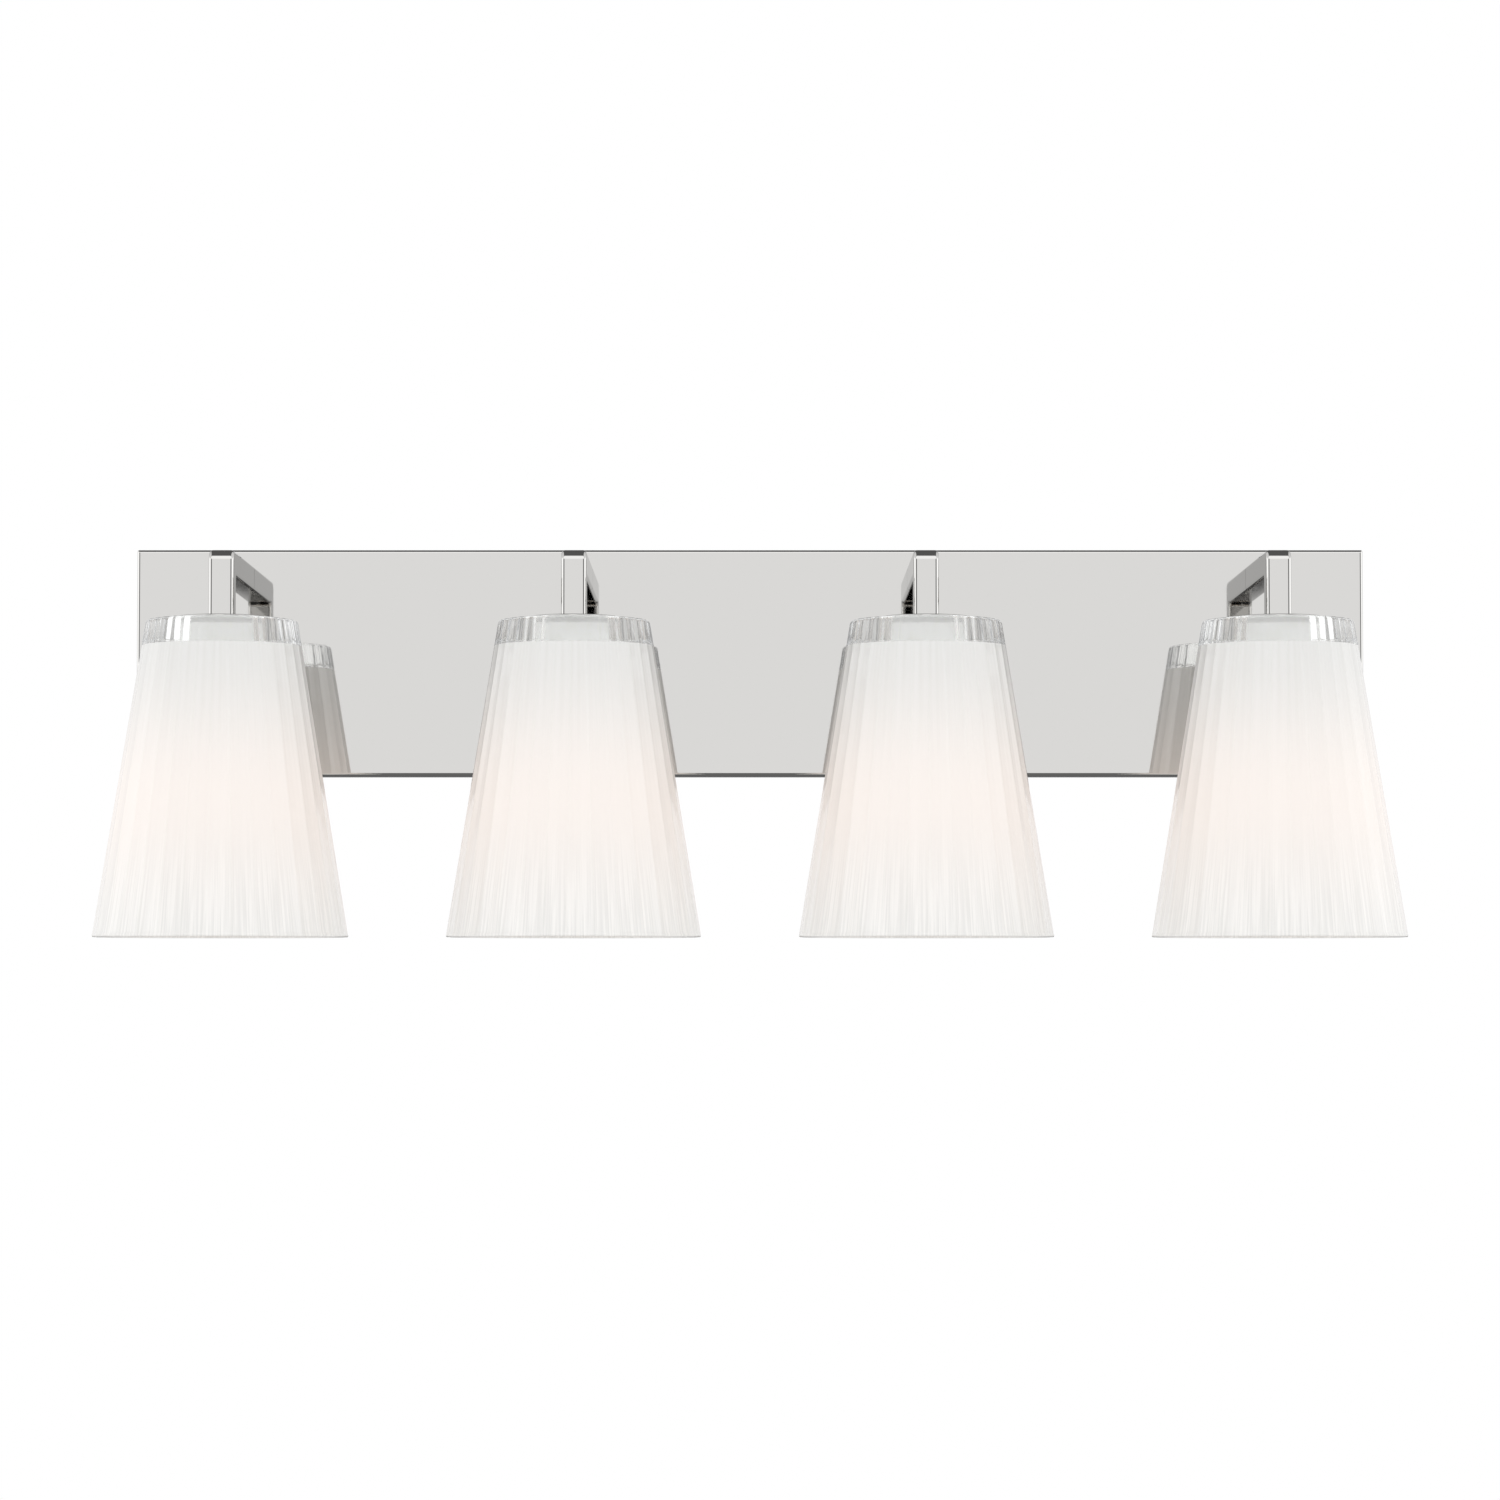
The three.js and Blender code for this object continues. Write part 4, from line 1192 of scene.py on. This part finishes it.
def lead(number):
    """The sleeve from the lampholder through the arm, and its two conductors inside the pan."""
    x = lamp_axis(number).x
    side = math.copysign(1, x)
    corner = CONDUCTOR_BEND
    corners = [
        (x, AXIS_Y, SHADE_TOP - SLEEVE_TOP),
        (x, AXIS_Y, ARM_AXIS_Z - corner),
        (x, AXIS_Y + corner, ARM_AXIS_Z),
        (x, PAN_INSIDE + SLEEVE_END, ARM_AXIS_Z),
    ]
    sleeve = wire_piece(f"lead_sleeve_{number}", corners, SLEEVE_RADIUS, CONDUCTOR_BEND, "sleeve", 20)
    on_frame(sleeve, ROOT, "wire_sleeving", f"lead_{number}")
    live, neutral = -side * CONDUCTOR_OFFSET, side * CONDUCTOR_OFFSET
    conductor(number, live, LIVE_PLANE, -CONNECTOR_OFFSET, f"lead_live_{number}", "black_wire")
    conductor(number, neutral, NEUTRAL_PLANE, CONNECTOR_OFFSET, f"lead_neutral_{number}", "white_wire")


def connector(name, x, plane, finish, slot, node):
    """A twist-on connector: a ribbed cone, open at its mouth."""
    piece = turned_piece(
        name,
        [
            (0, -CONNECTOR_LENGTH),
            (3.8, -CONNECTOR_LENGTH, 1.2),
            (4.8, -CONNECTOR_LENGTH + 3, 0.5, 1),
            (CONNECTOR_RADIUS, -9, 1.0, 1),
            (CONNECTOR_RADIUS, -2.5, 0, 1),
            (CONNECTOR_RADIUS, -1.8),
            (CONNECTOR_RADIUS, 0, 0.4),
            (CONNECTOR_BORE, 0, 0.4),
            (CONNECTOR_BORE, -CONNECTOR_GRIP),
            (0, -CONNECTOR_GRIP),
        ],
        finish,
        (x, plane, CONNECTOR_MOUTH),
        steps=96,
        row_length=1.5,
        ridges=12,
        depth=0.7,
        sharpness=0.7,
    )
    on_frame(piece, ROOT, slot, node)


def ground_wire():
    """From the ground screw on the bracket to the nut of the third arm, clear of the leads."""
    plane = (PAN_INSIDE + NEUTRAL_PLANE) / 2
    nut_x = lamp_axis(3).x
    half_nut = NUT_ACROSS / 2
    corners = [
        (GROUND_SCREW_X, plane, -2),
        (GROUND_SCREW_X + 12, plane, 12),
        (nut_x - half_nut - 3, plane - 2, ARM_AXIS_Z - half_nut - 6),
        (nut_x - 2, PAN_INSIDE + 2.15, ARM_AXIS_Z - half_nut - 1.6),
    ]
    piece = wire_piece("bonding_wire", corners, CONDUCTOR_RADIUS, 6.0, "green_wire")
    on_frame(piece, ROOT, "green_sheath", "ground_wire")


# ------------------------------------------------------------------ the CAD nodes that stay


def coat(node, finish):
    """Gives a CAD node that is shown as it is its real material."""
    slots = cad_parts[node].data.materials
    slots.clear()
    slots.append(FINISH[finish])


def shown_nodes():
    for node in ("mounting_bracket", "pan_screw_left", "pan_screw_right"):
        coat(node, "zinc")
    coat("ground_screw", "green_screw")
    for number in LIGHTS:
        coat(f"arm_nut_{number}", "zinc")
        coat(f"centre_contact_{number}", "brass")


# ------------------------------------------------------------------ assembly


def build():
    pan()
    shown_nodes()
    ground_wire()
    wires = (("live", -1, LIVE_PLANE, "orange"), ("neutral", 1, NEUTRAL_PLANE, "grey"))
    for name, side, plane, tint in wires:
        x = side * CONNECTOR_OFFSET
        slot, node = f"{tint}_plastic", f"wire_connector_{name}"
        connector(f"{name}_connector", x, plane, tint, slot, node)
    for number in LIGHTS:
        arm(number)
        shade(number)
        lampholder(number)
        lamp(number)
        lead(number)
        through = Vector((lamp_axis(number).x, 0, ARM_AXIS_Z)) * MM
        out_of_wall = Matrix.Translation(through) @ Matrix.Rotation(math.pi / 2, 4, "X")
        nipple(f"threaded_nipple_high_{number}", out_of_wall, f"arm_nipple_{number}")


# ------------------------------------------------------------------ stage, light and camera

FLOOR_DROP = 0.75  # metres from the bar's lowest point to the floor
FLOOR_HALF = 2.3
FLOOR_PLAIN = 1.0  # the floor starts to fade this far from its middle


def stage():
    """A plain pale floor, well below the bar, that fades into the white studio."""
    made, tree, shader = material("pale_studio_floor", Roughness=0.7)
    place = place_of(tree)
    mottle(tree, shader, place, 3.0, "#ebebea", "#efefee")
    away = add(tree, "ShaderNodeVectorMath", [place], operation="LENGTH").outputs["Value"]
    limits = {"Value": away, "From Min": FLOOR_PLAIN, "From Max": FLOOR_HALF}
    fade = add(tree, "ShaderNodeMapRange", limits, interpolation_type="SMOOTHSTEP").outputs[0]
    nothing = add(tree, "ShaderNodeBsdfTransparent").outputs[0]
    both = add(tree, "ShaderNodeMixShader", [fade, shader.outputs[0], nothing])
    output = next(node for node in tree.nodes if node.type == "OUTPUT_MATERIAL")
    tree.links.new(both.outputs[0], output.inputs["Surface"])
    height = CAD_LOW.z - FLOOR_DROP
    half = FLOOR_HALF
    corners = [(x, y, height) for x, y in ((-half, -half), (half, -half), (half, half), (-half, half))]
    mesh = bpy.data.meshes.new("floor")
    mesh.from_pydata(corners, [], [(0, 1, 2, 3)])
    mesh.materials.append(made)
    floor = new_object("floor", mesh)
    floor.visible_glossy = False


# How bright the studio looks in a mirror, by direction: degrees round from straight in front.
MIRRORED_ROUND = (
    (0, 1.0),
    (9, 1.0),
    (12, 0.15),
    (26, 0.15),
    (46, 0.5),
    (52, 1.4),
    (120, 1.4),
    (132, 0.8),
    (150, 0.95),
)
MIRRORED_PEAK = 1.4  # the brightest of them, because a ramp's colours end at 1
MIRRORED_OVER = 1.25  # overhead, towards the front
MIRRORED_BEHIND = 0.12  # overhead, from the middle to the back
MIRRORED_BELOW = 0.17  # the ground, in a strip to the front and the back
MIRRORED_FLOOR = 0.7  # the ground beside that strip
MIRRORED_SIDE = 0.85  # overhead beside that strip
SIDE_SHARE = 0.4  # half the width of that strip, as the X of a direction
STRIP_EDGE = (0.8, 1.2)  # where the strip starts and ends to fade, as a part of that half
OVERHEAD = (math.radians(12), math.radians(24))
OVERHEAD_FRONT = (-0.7, -0.55)  # the Y of a direction
HORIZON_FRONT = (math.radians(-4.7), math.radians(-4.4))
HORIZON_BEHIND = (math.radians(-1.8), math.radians(-0.6))
FRONT_TO_BACK = (-0.1, 0.1)

CAMERA_LENS = 113.7
CAMERA_SENSOR = 36.0
CAMERA_FAR = 50.0
CAMERA_DISTANCE = 2.758
CAMERA_HEIGHT = -0.18
CAMERA_PITCH = math.radians(2.71)


def studio():
    """White all round for the eye and for soft light. Mirrors see a bright wall in front with darker
    gaps at its sides, bright cloth overhead to the front, a dark strip overhead and behind, and a
    dark ground, which draw the edges of the chrome."""
    world = bpy.data.worlds.new("studio")
    world.use_nodes = True
    bpy.context.scene.world = world
    tree = world.node_tree
    tree.nodes.clear()
    direction = add(tree, "ShaderNodeTexCoord").outputs["Generated"]
    part = add(tree, "ShaderNodeSeparateXYZ", [direction]).outputs

    side = add(tree, MATH, [part["X"]], operation="ABSOLUTE").outputs[0]
    forward = add(tree, MATH, [part["Y"], -1.0], operation="MULTIPLY").outputs[0]
    round_front = add(tree, MATH, [side, forward], operation="ARCTAN2").outputs[0]
    upward = add(tree, MATH, [part["Z"]], operation="ARCSINE").outputs[0]
    half_turns = add(tree, MATH, [round_front, math.pi], operation="DIVIDE").outputs[0]
    ramp = add(tree, "ShaderNodeValToRGB", [half_turns])
    elements = ramp.color_ramp.elements
    while len(elements) < len(MIRRORED_ROUND):
        elements.new(0.5)
    for element, (degrees, level) in zip(elements, MIRRORED_ROUND):
        element.position = degrees / 180
        element.color = (*[level / MIRRORED_PEAK] * 3, 1.0)
    peak = [ramp.outputs["Color"], MIRRORED_PEAK]
    around = add(tree, MATH, peak, operation="MULTIPLY").outputs[0]
    across = add(tree, MATH, [side, SIDE_SHARE], operation="DIVIDE").outputs[0]
    seen = {"around": around, "across": across, "upward": upward, "depth": part["Y"]}
    fades = (
        ("back cloth", "across", STRIP_EDGE, MIRRORED_BEHIND, MIRRORED_SIDE),
        ("over", "depth", OVERHEAD_FRONT, MIRRORED_OVER, "back cloth"),
        ("high", "upward", OVERHEAD, "around", "over"),
        ("ground", "across", STRIP_EDGE, MIRRORED_BELOW, MIRRORED_FLOOR),
        ("in front", "upward", HORIZON_FRONT, "ground", "high"),
        ("behind", "upward", HORIZON_BEHIND, "ground", "high"),
        ("in metal", "depth", FRONT_TO_BACK, "in front", "behind"),
    )
    for name, measure, (start, end), low, high in fades:
        limits = {"Value": seen[measure], "From Min": start, "From Max": end}
        limits.update({"To Min": seen.get(low, low), "To Max": seen.get(high, high)})
        smooth = add(tree, "ShaderNodeMapRange", limits, interpolation_type="SMOOTHSTEP")
        seen[name] = smooth.outputs[0]
    path = add(tree, "ShaderNodeLightPath").outputs
    through = [1.0, path["Is Transmission Ray"]]
    not_through = add(tree, MATH, through, operation="SUBTRACT").outputs[0]
    glossy = [path["Is Glossy Ray"], not_through]
    mirrored = add(tree, MATH, glossy, operation="MULTIPLY").outputs[0]
    plain = add(tree, MATH, [1.0, mirrored], operation="SUBTRACT").outputs[0]
    in_mirror = add(tree, MATH, [mirrored, seen["in metal"]], operation="MULTIPLY").outputs[0]
    level = add(tree, MATH, [plain, in_mirror], operation="ADD").outputs[0]
    back = add(tree, "ShaderNodeBackground", {"Strength": level, "Color": (1.0, 1.0, 1.0, 1.0)})
    add(tree, "ShaderNodeOutputWorld", {"Surface": back.outputs[0]})


def camera():
    """Straight in front and below, looking up a little with a long lens."""
    data = bpy.data.cameras.new("camera")
    data.lens = CAMERA_LENS
    data.sensor_width = CAMERA_SENSOR
    data.clip_end = CAMERA_FAR
    made = bpy.data.objects.new("camera", data)
    bpy.context.scene.collection.objects.link(made)
    made.location = (0.0, -CAMERA_DISTANCE, CAMERA_HEIGHT)
    made.rotation_euler = (math.pi / 2 + CAMERA_PITCH, 0.0, 0.0)
    bpy.context.scene.camera = made


camera()
build()
stage()
studio()
bpy.context.scene.view_settings.view_transform = "Standard"
